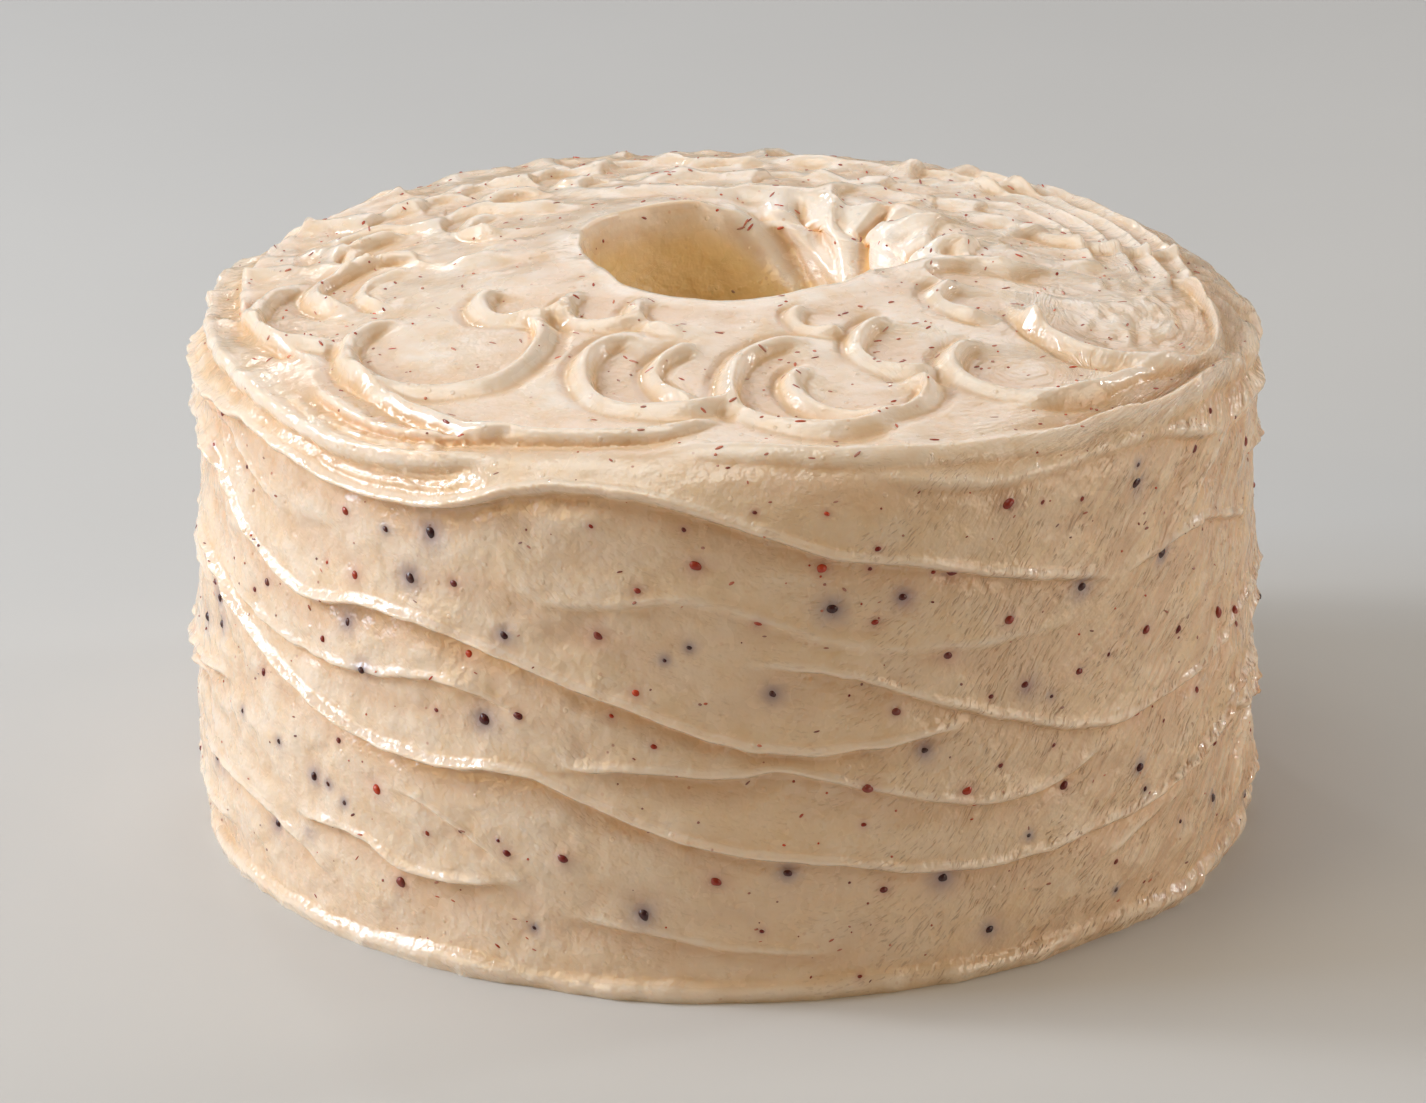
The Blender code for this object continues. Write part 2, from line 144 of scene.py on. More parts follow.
def bump_at(distance, width):
    return np.exp(-(distance / width) ** 2)


def smooth_curve(knots, x):
    """Cubic curve through the knots (x, y), level past its ends."""
    kx, ky = np.array(knots, float).T
    tangent = np.gradient(ky, kx)
    i = np.clip(np.searchsorted(kx, x) - 1, 0, len(kx) - 2)
    width = kx[i + 1] - kx[i]
    t = np.clip((x - kx[i]) / width, 0, 1)
    start = (1 + 2 * t) * (1 - t) ** 2 * ky[i] + t * (1 - t) ** 2 * width * tangent[i]
    end = t * t * (3 - 2 * t) * ky[i + 1] + t * t * (t - 1) * width * tangent[i + 1]
    return start + end


def turned_from(angle, middle):
    """Angle from middle, between -180 and 180."""
    return (angle - middle + 180) % 360 - 180


def curve_round(knots, angle):
    """Smooth curve through knots that go round the cake, from -100 to 260 degrees."""
    return smooth_curve(knots, turned_from(angle, 80) + 80)


# %% Noise
def unevenness(points, cell, seed):
    """Smooth seeded noise from -1 to 1; cell is the size of its lumps along x, y and z."""
    size = 32
    table = np.random.default_rng(seed).uniform(-1, 1, (size, size, size)).astype(np.float32)
    place = points / np.asarray(cell, float)
    low = np.floor(place).astype(int)
    part = (place - low).astype(np.float32)
    part = part ** 3 * (part * (6 * part - 15) + 10)
    total = 0
    for corner in np.ndindex(2, 2, 2):
        weight = np.prod(np.where(corner, part, 1 - part), axis=-1)
        index = (low + corner) % size
        total = total + weight * table[index[..., 0], index[..., 1], index[..., 2]]
    return total


def lumps(points, layers):
    """Sum of noises, each given as (height in mm, cell in mm, seed)."""
    return sum(height * unevenness(points, cell, seed) for height, cell, seed in layers)


# %% [markdown]
# ## Pulls round the side
# A long spatula was drawn round the standing cake. Each pull leaves one ridge: frosting swells
# up to a soft rounded crest and drops off below it in a crisp step. The ridges wander, meet and
# part. They could be sculpted by hand, but a ridge is only a path with a cross-section, so each
# is a short list of (angle, height up the side) that a cubic curve runs through.

# %% Paths of the side's ridges
Ridge = namedtuple("Ridge", "crest drop slope path")
SIDE_RIDGES = [
    # the lip pushed over from the top, which sweeps down to the right
    Ridge(2.4, 1.7, 13, [(-100, 104), (-85, 106), (-70, 106.3), (-60, 107), (-50, 105), (-40, 103.6),
                         (-32, 104.5), (-25, 108), (-15, 111.6), (-5, 109), (5, 103), (10, 99.1),
                         (20, 94.7), (30, 89.7), (40, 85), (45, 81.5)]),
    Ridge(1.1, 1.4, 8, [(42, 81.5), (50, 84.7), (60, 86.3), (65, 83.6), (70, 80.2), (78, 76)]),
    Ridge(1.2, 2.0, 8, [(14, 115), (25, 110.5), (38, 110.6), (46, 111), (52, 110), (58, 106.5),
                        (67, 103)]),
    Ridge(0.7, 1.4, 8, [(-88, 104.5), (-72, 103), (-67, 102), (-58, 94.5), (-50, 91)]),
    # the band below it
    Ridge(2.3, 1.6, 11, [(-82, 100), (-72, 95), (-66, 91), (-60, 83), (-50, 76), (-40, 79),
                         (-30, 77.5), (-20, 71.9), (-10, 65.8), (0, 58.6), (10, 56.2), (28, 59)]),
    Ridge(1.7, 1.5, 10, [(0, 76.5), (10, 73.6), (20, 65.6), (30, 58.2), (40, 51.9), (46, 50.5),
                         (52, 51.8), (60, 53.6), (72, 60), (80, 62)]),
    Ridge(1.0, 1.2, 7, [(-70, 72), (-60, 65.8), (-47, 63.3), (-40, 63.8), (-30, 66.1), (-20, 60.5)]),
    Ridge(0.8, 2.0, 8, [(-25, 92), (-20, 88), (-2, 89), (10, 80.8), (17, 77), (25, 76), (42, 77)]),
    # the low band, round the whole front
    Ridge(2.3, 1.6, 11, [(-84, 78), (-72, 70), (-60, 60.3), (-50, 54.2), (-40, 49.3), (-30, 48),
                         (-25, 49), (-20, 48.2), (-10, 40.8), (0, 34.9), (10, 31.9), (20, 27.4),
                         (25, 26.3), (40, 27.8), (48, 28.7), (60, 35), (70, 42), (86, 45)]),
    Ridge(1.5, 1.3, 8, [(-20, 50.5), (-10, 51.7), (0, 51.2), (5, 52.5), (15, 46.5), (25, 41.2),
                        (35, 41.1), (46, 49)]),
    # short pulls near the foot and at the far right
    Ridge(1.4, 1.5, 8, [(-82, 25), (-62, 23), (-55, 21), (-45, 12)]),
    Ridge(1.4, 1.3, 7, [(-54, 24), (-40, 25.2), (-36, 22), (-30, 21.5), (-20, 24.5)]),
    Ridge(0.9, 1.6, 7, [(-20, 18), (-10, 16.3), (0, 12.7), (14, 10)]),
    Ridge(0.6, 1.0, 6, [(-40, 39), (-33, 38), (-29, 34.5), (-20, 22)]),
    Ridge(0.8, 1.3, 8, [(38, 17), (49, 23), (58, 28)]),
    Ridge(1.1, 1.4, 7, [(56, 90), (64, 100), (75, 105), (90, 100)]),
]

# %% [markdown]
# The rim is where those pulls meet the top: a rolled edge, a long ridge that curls inward at the
# front, and at the left front a wet patch where the spatula lifted off and left thin threads. At
# the right front a groove runs inside the rim, which is just a ridge turned down.

# %% Ridges along the rim, as (angle, distance up the outline)
RIM_RIDGES = [
    Ridge(2.2, 3.0, 5, [(-112, 114), (-95, 113.5), (-80, 114.5), (-60, 113.5), (-50, 112),
                        (-40, 111.5), (-30, 114), (-24, 118)]),
    Ridge(1.3, 1.4, 4, [(-56, 122), (-50, 118.5), (-42, 117), (-34, 118), (-27, 121.5), (-22, 126)]),
    Ridge(1.8, 3.0, 4.5, [(-60, 131), (-50, 127.5), (-40, 124.5), (-30, 122.5), (-20, 124),
                          (-12, 127.5), (-6, 131), (-1, 138), (2, 142)]),
    Ridge(1.7, 4.5, 4, [(-7, 125), (8, 122), (20, 119.5), (30, 118.3), (36, 117), (40, 116.5),
                        (45, 117.4), (51, 115.2), (60, 115), (66, 115.1), (72, 113.4), (84, 111.5),
                        (100, 112.5)]),
    Ridge(1.7, 3.0, 5, [(34, 132), (42, 127.2), (47, 125.2), (53, 125), (60, 123.5), (68, 119)]),
    Ridge(-2.3, 1.4, 6.5, [(34, 120), (40, 118.3), (45, 119), (51, 117), (60, 116.8), (66, 117),
                           (73, 115.4)]),
    Ridge(1.0, 1.6, 5, [(-140, 124), (-120, 123), (-100, 121), (-85, 121.5), (-70, 124), (-58, 128)]),
    # long ridges that run side by side along the right of the top
    Ridge(1.5, 1.2, 4, [(80, 123), (90, 125), (110, 124), (130, 123), (152, 125)]),
    Ridge(1.5, 1.2, 4, [(86, 130), (100, 131.5), (120, 130), (140, 131), (158, 134)]),
    Ridge(1.3, 1.2, 4.5, [(92, 137), (100, 138), (112, 137.5), (128, 136), (146, 139)]),
    Ridge(1.2, 1.2, 4.5, [(94, 145), (104, 146), (120, 144), (138, 147)]),
]
WET_THREADS = [
    Ridge(0.5, 0.7, 1.6, [(-58, 112.5), (-50, 109.5), (-40, 108.3), (-30, 110.5), (-25, 114)]),
    Ridge(0.5, 0.7, 1.6, [(-54, 116), (-46, 114.3), (-38, 114), (-31, 116), (-26, 119)]),
    Ridge(0.45, 0.6, 1.3, [(-60, 117.5), (-50, 113.6), (-40, 112), (-31, 114), (-26, 117)]),
    Ridge(0.4, 0.6, 1.2, [(-52, 108.2), (-44, 106.6), (-36, 106.6), (-29, 109), (-25, 112)]),
]

# %% [markdown]
# The back doesn't show in the photograph. It gets pulls of the same kind, laid by a loop: rows
# at set heights, each of two wavy strokes that start where the one before fades.

# %% Ridges of the back
BACK_HEIGHTS = [100.0, 84.0, 66.0, 48.0, 30.0, 13.0]
BACK_START, BACK_END, BACK_PULLS = 78.0, 282.0, 2
BACK_CREST, BACK_DROP, BACK_SLOPE = 2.0, 1.6, 10.0
BACK_RISE = 8.0
BACK_KNOTS = 5


def back_ridges():
    rng = np.random.default_rng(7)
    between_starts = (BACK_END - BACK_START) / BACK_PULLS
    ridges = []
    for row, height in enumerate(BACK_HEIGHTS):
        for pull in range(BACK_PULLS):
            first = BACK_START + between_starts * pull - 12 + 9 * (row % 2)
            angles = np.linspace(first, first + between_starts + 16, BACK_KNOTS)
            waves = np.sin(np.linspace(0, math.pi * 1.6, BACK_KNOTS) + row * 2.1 + pull) * BACK_RISE
            heights = height + waves * min(1, height / 30) + rng.uniform(-1.5, 1.5, BACK_KNOTS)
            crest = BACK_CREST * rng.uniform(0.7, 1.1)
            ridges.append(Ridge(crest, BACK_DROP, BACK_SLOPE, list(zip(angles, heights))))
    return ridges


# %% [markdown]
# ## From a path to a ridge
# The cross-section is lopsided: a thin fin right on the crest, a roll and a long swell above it,
# and below it a rounded drop into a shallow recess, with a faint groove at its foot. The fin is
# what catches the light as a line. The pulls are bold at both flanks and weaker in the middle.

# %% Relief of one ridge
FIN, ROLL, SWELL = 0.28, 0.28, 0.44
FIN_WIDTH, ROLL_WIDTH = 0.75, 2.1
RECESS, RECESS_WIDTH = 0.38, 9.0
GROOVE_DEPTH, GROOVE_PLACE, GROOVE_WIDTH = 0.1, 1.3, 0.9
FADE_ANGLE = 9.0
PATCHY = [(0.25, (30, 30, 400), 12), (0.22, (7, 7, 400), 13)]


def ridge_relief(ridge, up, angle, wander, strength):
    first, last = ridge.path[0][0], ridge.path[-1][0]
    turned = turned_from(angle, (first + last) / 2) + (first + last) / 2
    height = np.zeros_like(up)
    near = (turned > first) & (turned < last)
    turned = turned[near]
    fade = span(turned, first, first + FADE_ANGLE, last - FADE_ANGLE, last)
    above = up[near] - smooth_curve(ridge.path, turned) - wander[near]
    upper = FIN * bump_at(above, FIN_WIDTH) + ROLL * swell(above / ROLL_WIDTH)
    upper += SWELL * swell(above / ridge.slope)
    lower = (1 + RECESS) * rolled_edge(-above / ridge.drop) - RECESS * swell(-above / RECESS_WIDTH)
    groove = GROOVE_DEPTH * bump_at(above / ridge.drop + GROOVE_PLACE, GROOVE_WIDTH)
    shape = np.where(above >= 0, upper, lower) - groove
    height[near] = fade * ridge.crest * strength[near] * shape
    return height


def side_strength(angle, points):
    flanks = 1.15 - 0.4 * smooth_step(-25, 12, angle) + 0.25 * smooth_step(40, 65, angle)
    return (1.08 + lumps(points, PATCHY)) * flanks


# %% [markdown]
# ## Swirls on the top
# The tip of the spatula turned dozens of small curls into the top. Each is a shallow dish: one
# arc of its edge is a crisp wall with a raised, rope-like lip, the other side runs out softly.
# They were made one after another, and each wipes away part of the last, so the order of this
# list matters. A swirl is its centre, its reach across and away, where its walled arc starts and
# ends, its depth, its lip's crest and width, and the peak left where the tip lifted off. That is
# near the arc's end, unless the angle of the tip is given too.

# %% Swirls of the front half
Swirl = namedtuple("Swirl", "x y across away start end depth crest width peak tip",
                   defaults=(4.6, 0, None))
FRONT_SWIRLS = [
    Swirl(84, 46, 26, 24, 215, 400, 1.2, 1.1),
    Swirl(-66, 14, 17, 13, 100, 260, 1.4, 1.2, 4.6, 0.8),
    Swirl(-46, 26, 12, 10, 110, 250, 1.2, 1.1, 4, 0.8),
    # left of the hole and the left front
    Swirl(-98, -2, 15, 19, 140, 285, 1.4, 1.5),
    Swirl(-76, -18, 26, 24, 130, 262, 1.8, 1.9),
    Swirl(-70, -8, 19, 15, 75, 235, 1.8, 1.9),
    Swirl(-66, -12, 13, 12, 100, 240, 1.2, 1.2, 3),
    Swirl(-60, -50, 20, 21, 118, 392, 1.9, 1.6, 5),
    Swirl(-42, -31, 10.5, 9, 130, 320, 1.7, 1.5, 5, 0.9),
    Swirl(-25, -36, 10, 9.5, 140, 320, 1.4, 1.3, 4),
    Swirl(-8, -40, 12, 10, 150, 265, 1.2, 1.1, 4),
    Swirl(-12, -68, 18, 19, 115, 322, 1.9, 1.6, 5),
    Swirl(-4, -70, 10.5, 12, 100, 262, 1.3, 1.6, 4.6),
    # the right front
    Swirl(19, -74, 18.5, 20, 95, 325, 1.9, 1.5, 5),
    Swirl(27, -75, 13.5, 12, 135, 385, 1.2, 1.4, 4.2, 1.8),
    Swirl(21, -44, 7, 6, 130, 300, 1.0, 0.9, 3, 0.6),
    Swirl(38, -54, 10.5, 12, 112, 305, 1.7, 1.4, 4.4),
    Swirl(66, 6, 14, 11, 130, 262, 1.2, 1.1, 4.4),
    Swirl(56, -27, 11, 9, 130, 275, 1.4, 1.3, 4.2),
    Swirl(63, -60, 16, 13, 128, 338, 1.8, 1.5, 4.8),
    Swirl(83, -21, 22, 31, 192, 415, 1.9, 1.7, 4.8, 2.8, 215),
    Swirl(84, -20, 12, 16, 300, 420, 0.5, 0.6, 2.6),
]

# %% [markdown]
# Behind the hole the photograph looks along the top, and only the lips of the swirls show, row
# behind row. A loop lays three rings of them, the outer ring first.

# %% Swirls of the back half
SwirlRing = namedtuple("SwirlRing", "radius first last count reach")
BACK_SWIRL_RINGS = [SwirlRing(100, 138, 268, 14, 14), SwirlRing(80, 84, 262, 16, 13),
                    SwirlRing(60, 74, 258, 11, 12)]
BACK_SWIRL_DEPTH, BACK_SWIRL_CREST, BACK_SWIRL_ARC = 1.4, 1.0, 215.0
BACK_SWIRL_WIDTH = 7.5
PEAK_EVERY, BACK_PEAK = 5, 0.35


def back_swirls():
    rng = np.random.default_rng(5)
    swirls = []
    for ring in BACK_SWIRL_RINGS:
        for angle in np.linspace(ring.first, ring.last, ring.count):
            a = math.radians(angle + rng.uniform(-4, 4))
            radius = ring.radius + rng.uniform(-4, 4)
            start = 92 + rng.uniform(-18, 18)
            across, away = ring.reach * rng.uniform(0.85, 1.25), ring.reach * rng.uniform(0.65, 0.9)
            depth = BACK_SWIRL_DEPTH * rng.uniform(0.8, 1.2)
            crest = BACK_SWIRL_CREST * rng.uniform(0.7, 1.3)
            peak = BACK_PEAK if len(swirls) % PEAK_EVERY == 1 else 0
            swirls.append(Swirl(radius * math.sin(a), -radius * math.cos(a), across, away,
                                start, start + BACK_SWIRL_ARC, depth, crest, BACK_SWIRL_WIDTH, peak))
    return swirls


# %% The lip and the floor of one swirl
LIP_HEIGHT, LIP_WIDTH = 1.3, 0.76
LIP_FOOT, LIP_FOOT_PLACE, LIP_FOOT_WIDTH = 0.36, 1.2, 0.4
LIP_THIN, LIP_THIN_PLACE, LIP_THIN_REACH = 0.5, 0.56, 0.2
SHALLOW, FLOOR_TILT, FLOOR_KEEPS = 0.65, 0.85, 0.2
CREASES = [(-2.7, 0.45, 0.2), (-4.2, 0.5, 0.12)]


def swirl_lip(swirl, outside, progress):
    """The rope along the edge: it widens along the arc, thins past halfway, and has a groove outside."""
    place = outside / (LIP_WIDTH * swirl.width * (0.8 + 0.4 * progress))
    roll = np.where(outside < 0, 1, swell(place)) - LIP_FOOT * bump_at(place - LIP_FOOT_PLACE, LIP_FOOT_WIDTH)
    thinned_by = LIP_THIN * bump_at(progress - LIP_THIN_PLACE, LIP_THIN_REACH)
    return LIP_HEIGHT * swirl.crest * (1.1 - thinned_by) * roll


def swirl_floor(swirl, across, away, outside, walled, before):
    """The dish: deepest by the wall, level at the open side, with fine creases along the wall."""
    open_side = math.radians((swirl.start + swirl.end) / 2 + 180)
    tilt = np.clip(0.5 + 0.5 * (across * math.cos(open_side) + away * math.sin(open_side)), 0, 1)
    floor = -SHALLOW * swirl.depth * (1 - FLOOR_TILT * tilt) + FLOOR_KEEPS * before
    for place, thin, tall in CREASES:
        floor += walled * tall * bump_at(outside - place, thin)
    return floor


# %% Press one swirl into the top
SWIRL_MARGIN = 9
WALL, WALL_FADE_IN, WALL_FADE_OUT = 1.5, 25, 8
RUN_OUT = 0.6
LIP_WIPED = 0.75
TIP_BACK, TIP_WIDTH = 12, 3.0


def press_swirl(swirl, x, y, height, comb):
    """Changes height and comb in place; comb is the distance that the spatula's fine lines follow."""
    reach = (swirl.across + swirl.away) / 2
    near = abs(x - swirl.x) < swirl.across + SWIRL_MARGIN
    near &= abs(y - swirl.y) < swirl.away + SWIRL_MARGIN
    across, away = (x[near] - swirl.x) / swirl.across, (y[near] - swirl.y) / swirl.away
    turn = np.arctan2(away, across)
    wobble = 0.03 * np.sin(2 * turn + swirl.x) + 0.015 * np.sin(5 * turn + swirl.y)
    outside = (np.hypot(across, away) - 1 - wobble) * reach
    middle, half = (swirl.start + swirl.end) / 2, (swirl.end - swirl.start) / 2
    off = turned_from(np.degrees(turn), middle)
    walled = 1 - smooth_step(half - WALL_FADE_IN, half + WALL_FADE_OUT, abs(off))
    progress = np.clip(0.5 + 0.5 * off / half, 0, 1)
    wall = WALL * (0.6 + 1.1 * (1 - smooth_step(0.3, 0.55, progress)))
    inner = walled * rolled_edge(-outside / wall) + (1 - walled) * swell(-outside / (RUN_OUT * reach))
    keep = np.where(outside >= 0, 1, inner)
    before = height[near]
    lip = walled * swirl_lip(swirl, outside, progress) * (1 - LIP_WIPED * smooth_step(0.4, 1.6, before))
    floor = swirl_floor(swirl, across, away, outside, walled, before)
    height[near] = keep * (before + lip) + (1 - keep) * floor
    if swirl.peak:
        tip = math.radians(swirl.tip or swirl.end - TIP_BACK)
        from_tip = np.hypot((across - math.cos(tip)) * swirl.across, (away - math.sin(tip)) * swirl.away)
        height[near] += swirl.peak * bump_at(from_tip, TIP_WIDTH)
    comb[near] = keep * comb[near] + (1 - keep) * (outside + 40)


# %% [markdown]
# ## The hole
# The top ends at the hole in a crisp lip, which hangs over a little at the left. At the back
# right the spatula dragged the lip down into a wide funnel with a few petal-like folds, the most
# striking marks on the whole cake. Each fold is a path of (distance up the outline, angle), so
# it can lean and curve as it runs down. Ridges have a positive height and grooves a negative one.

# %% The lip and the folds of the funnel
LIP_UP = 195.0
LIP_MIDDLE = fine_up[np.argmin(np.hypot(fine_radius - CROWN[0], fine_height - CROWN[1]))]
LIP_HALF_TURN = 0.8
OVERHANG_ANGLE, OVERHANG_SPREAD, OVERHANG = -72.0, 36.0, 5.2
FUNNEL_ANGLE, FUNNEL_FULL, FUNNEL_HALF = 136.0, 34.0, 64.0
FUNNEL_DEPTH, FUNNEL_LEAN = 6.6, 0.9
Fold = namedtuple("Fold", "height width path")
FOLDS = [
    Fold(1.3, 3.2, [(178, 184), (184, 180), (198, 169), (206, 158), (216, 140)]),
    Fold(-1.7, 2.2, [(194, 170), (200, 161), (205, 154), (211, 143), (220, 128)]),
    Fold(1.4, 3.0, [(176, 170), (182, 166), (199, 153), (203, 142), (208, 128), (216, 113)]),
    Fold(-1.8, 1.5, [(176, 161), (182, 158), (189, 152.5), (200, 148)]),
    Fold(1.9, 2.6, [(174, 152), (181, 149), (197, 140), (204, 131), (208, 124), (216, 111)]),
    Fold(-3.2, 1.5, [(172, 137), (180, 134.5), (194, 132), (200, 129), (206, 121), (214, 109)]),
    Fold(1.6, 3.4, [(172, 125), (180, 123), (189, 121), (198, 119), (205, 113), (214, 101)]),
    Fold(-1.6, 1.6, [(174, 110), (188, 107), (198, 103), (208, 94)]),
    Fold(1.6, 3.6, [(172, 102), (184, 101), (194, 97), (201, 90), (212, 84)]),
    Fold(-1.8, 2.2, [(180, 86), (194, 82), (206, 74)]),
]


# %% Relief of the hole
SMEARED = [(0.8, (10, 10, 26), 21), (0.36, (5, 5, 9), 22)]
SCOOP_SPAN, OVERHANG_SPAN = (-19, 1, 3, 23), (-18, 0, 10, 50)
HOLE_SPAN = (LIP_MIDDLE + 6, LIP_MIDDLE + 18, LENGTH - 25, LENGTH)


def in_funnel(up, angle):
    """1 inside the funnel, 0 outside; it leans to the right as it goes down."""
    middle = FUNNEL_ANGLE - FUNNEL_LEAN * np.clip(up - LIP_MIDDLE + 6, 0, 28)
    return 1 - smooth_step(FUNNEL_FULL, FUNNEL_HALF, abs(turned_from(angle, middle)))


def hole_relief(up, angle, points):
    past_lip = up - LIP_MIDDLE
    dragged = in_funnel(up, angle)
    scoop = span(past_lip, *SCOOP_SPAN)
    squared = np.clip(LIP_HALF_TURN - abs(past_lip) / CROWN[2], 0, LIP_HALF_TURN)
    lip = CROWN[2] * (1 / np.cos(squared) - 1) * (1 - dragged)
    lip *= 0.8 + 0.25 * unevenness(points, (10, 10, 200), 23)
    radius = np.hypot(points[:, 0], points[:, 1])
    folds = 0
    for fold in FOLDS:
        first, last = fold.path[0][0], fold.path[-1][0]
        beside = np.radians(turned_from(angle, smooth_curve(fold.path, up))) * radius / fold.width
        ends = span(up, first, first + 9, last - 9, last + 6)
        folds = folds + fold.height * ends * bump_at(beside, 1.0)
    smeared = span(up, *HOLE_SPAN) * lumps(points, SMEARED)
    return lip - FUNNEL_DEPTH * scoop * dragged + folds + smeared


def lip_slide(up, angle):
    """How far the lip hangs over, as a share of its distance from the axis."""
    hangs = bump_at(turned_from(angle, OVERHANG_ANGLE), OVERHANG_SPREAD)
    hangs *= span(up - LIP_MIDDLE, *OVERHANG_SPAN)
    return OVERHANG * hangs / np.interp(up, fine_up, fine_radius)


# %% [markdown]
# ## The comb
# A spatula leaves hair-fine lines that run with its stroke. The bump further on draws them, and
# has to know the stroke's direction, so each point carries a comb: a distance measured across
# the stroke. On the side the stroke sinks towards the right front and rises again. The fine
# wrinkles there follow a second comb, which climbs steeply at both flanks.

# %% Combs of the side and the top
SIDE_FLOW = [(-100, 22), (-80, 18), (-55, 6), (-30, 0), (10, -19), (25, -23), (45, -21), (60, -13),
             (75, 0), (90, 12), (110, 20), (180, 14), (260, 22)]
DRAG_FLOW = [(-100, 150), (-75, 95), (-50, 50), (-25, 20), (0, 0), (20, 8), (40, 34), (60, 68),
             (80, 102), (110, 140), (180, 160), (260, 150)]
SIDE_WAVER, DRAG_WAVER = [(2, (40, 40, 30), 8)], [(2.5, (18, 18, 18), 9)]
TOP_LUMPS = [(0.5, (26, 26, 26), 5), (0.35, (9, 9, 9), 6)]


def side_comb(flow, waver, up, angle, points):
    return up - curve_round(flow, angle) + lumps(points, waver)


def top_relief(points):
    """Height and comb of the swirled top, at the points given."""
    height = lumps(points, TOP_LUMPS)
    comb = np.hypot(points[:, 0], points[:, 1])
    for swirl in back_swirls() + FRONT_SWIRLS:
        press_swirl(swirl, points[:, 0], points[:, 1], height, comb)
    return height, comb


# %% [markdown]
# ## Small marks
# Small marks make it look like food: little folds at the flanks, lumps along the rolled rim, torn
# ripples where the spatula lifted off, pebbly texture, and tiny teeth round the top's edge. Each
# is noise of the right size, times a mask that says where it belongs.

# %% Wrinkles, lumps, ripples and pebbles
RIGHT_FRONT, RIGHT_FLANK, LEFT_FLANK = (15, 35, 110, 150), (40, 72, 110, 150), (50, 78, 110, 150)
LEFT_RIM, RIM_UP = (-125, -95, -52, -34), 113.5
WET_ROUND, WET_UP = (-55, -48, -33, -26), (112, 114.5, 119, 122)
TORN_ROUND, TORN_UP = (56, 64, 90, 98), (121, 125, 146, 152)
TEETH_UP = 120.0


def wrinkles(angle, points, drag):
    """Sharp little folds, boldest at the far right, where the frosting had begun to set."""
    place = np.stack([points[:, 0], points[:, 1], drag], axis=-1)
    bold = 0.05 + 0.22 * span(angle, *RIGHT_FRONT)
    bold += 1.6 * span(angle, *RIGHT_FLANK) + 0.8 * span(-angle, *LEFT_FLANK)
    folds = 0.6 - 1.6 * abs(unevenness(place, (22, 22, 7), 61)) + 0.4 * unevenness(place, (10, 10, 3), 62)
    patchy = 0.35 + 0.65 * smooth_step(-0.35, 0.35, unevenness(points, (22, 22, 18), 63))
    return bold * patchy * folds


def small_relief(up, angle, points):
    """Marks a few millimetres across and less than half a millimetre high."""
    left_rim = bump_at(up - RIM_UP, 4.5) * span(angle, *LEFT_RIM)
    wet = span(angle, *WET_ROUND) * span(up, *WET_UP)
    torn = span(angle, *TORN_ROUND) * span(up, *TORN_UP)
    teeth = bump_at(up - TEETH_UP, 5) * smooth_step(70, 110, abs(angle))
    pebbly = 0.18 + 0.12 * (smooth_step(35, 75, abs(angle)) + smooth_step(0, 45, -angle))
    smoothed = 1 - 0.6 * smooth_step(108, 118, up)
    marks = lumps(points, [
        (0.3 * left_rim, (4.5, 4.5, 3.5), 51),
        (0.55 * wet, (2.0, 2.0, 2.6), 52),
        (0.45 * torn, (2.2, 5, 2.6), 56),
        (0.42 * teeth, (4, 4, 3), 55),
        (pebbly * smoothed, (3.4, 3.4, 2.6), 53),
        (0.3 * smoothed, (7, 7, 5), 54),
    ])
    return marks * (1 - smooth_step(LIP_UP + 20, LIP_UP + 60, up))


# %% [markdown]
# ## The whole coat
# Base unevenness, then swirls on the top, then ridges, hole and foot, all summed as one height.
# At the foot the frosting is tucked in, and just above it rolls out in an uneven edge.

# %% Relief of the whole coat
SHOULDER_UP = 117.0
TOP_SPAN = (SHOULDER_UP - 6, SHOULDER_UP + 8, LIP_UP, LIP_UP + 12)
SIDE_LUMPS = [(0.6, (55, 55, 16), 3), (0.34, (24, 24, 7), 4), (0.22, (11, 11, 5), 7)]
WANDER = [(0.5, (14, 14, 400), 11), (0.3, (4.5, 4.5, 9), 14)]
FOOT_PATCHES = [(0.3, (20, 20, 400), 31), (0.4, (6, 6, 400), 32)]
FOOT_WAVE = [(0.9, (14, 14, 400), 33)]
FOOT_ROLL, FOOT_ROLL_UP, FOOT_ROLL_WIDTH = 1.5, 2.2, 2.6
FOOT_TUCK, FOOT_TUCK_UP = 0.8, 2.4


def foot_relief(up, points):
    above = np.maximum(up - FOOT_ROLL_UP - lumps(points, FOOT_WAVE), 0)
    roll = FOOT_ROLL * rolled_edge(above / FOOT_ROLL_WIDTH) * (1 + lumps(points, FOOT_PATCHES))
    return roll - FOOT_TUCK * (1 - smooth_step(0, FOOT_TUCK_UP, up))


def relief(up, angle, points):
    """Height of the frosting above the smooth cake, and its comb."""
    comb = side_comb(SIDE_FLOW, SIDE_WAVER, up, angle, points)
    drag = side_comb(DRAG_FLOW, DRAG_WAVER, up, angle, points)
    on_top = span(up, *TOP_SPAN)
    height = (lumps(points, SIDE_LUMPS) + wrinkles(angle, points, drag)) * (1 - on_top)
    top = on_top > 0
    top_height, top_comb = top_relief(points[top])
    height[top] += top_height * on_top[top]
    comb[top] += (top_comb - comb[top]) * on_top[top]

    wander = lumps(points, WANDER)
    strength = side_strength(angle, points)
    for ridge in SIDE_RIDGES + RIM_RIDGES + WET_THREADS + back_ridges():
        height += ridge_relief(ridge, up, angle, wander, strength)
    height += hole_relief(up, angle, points) + small_relief(up, angle, points) + foot_relief(up, points)
    comb += (drag - comb) * (1 - on_top) * smooth_step(5, 35, abs(angle))
    return height, comb


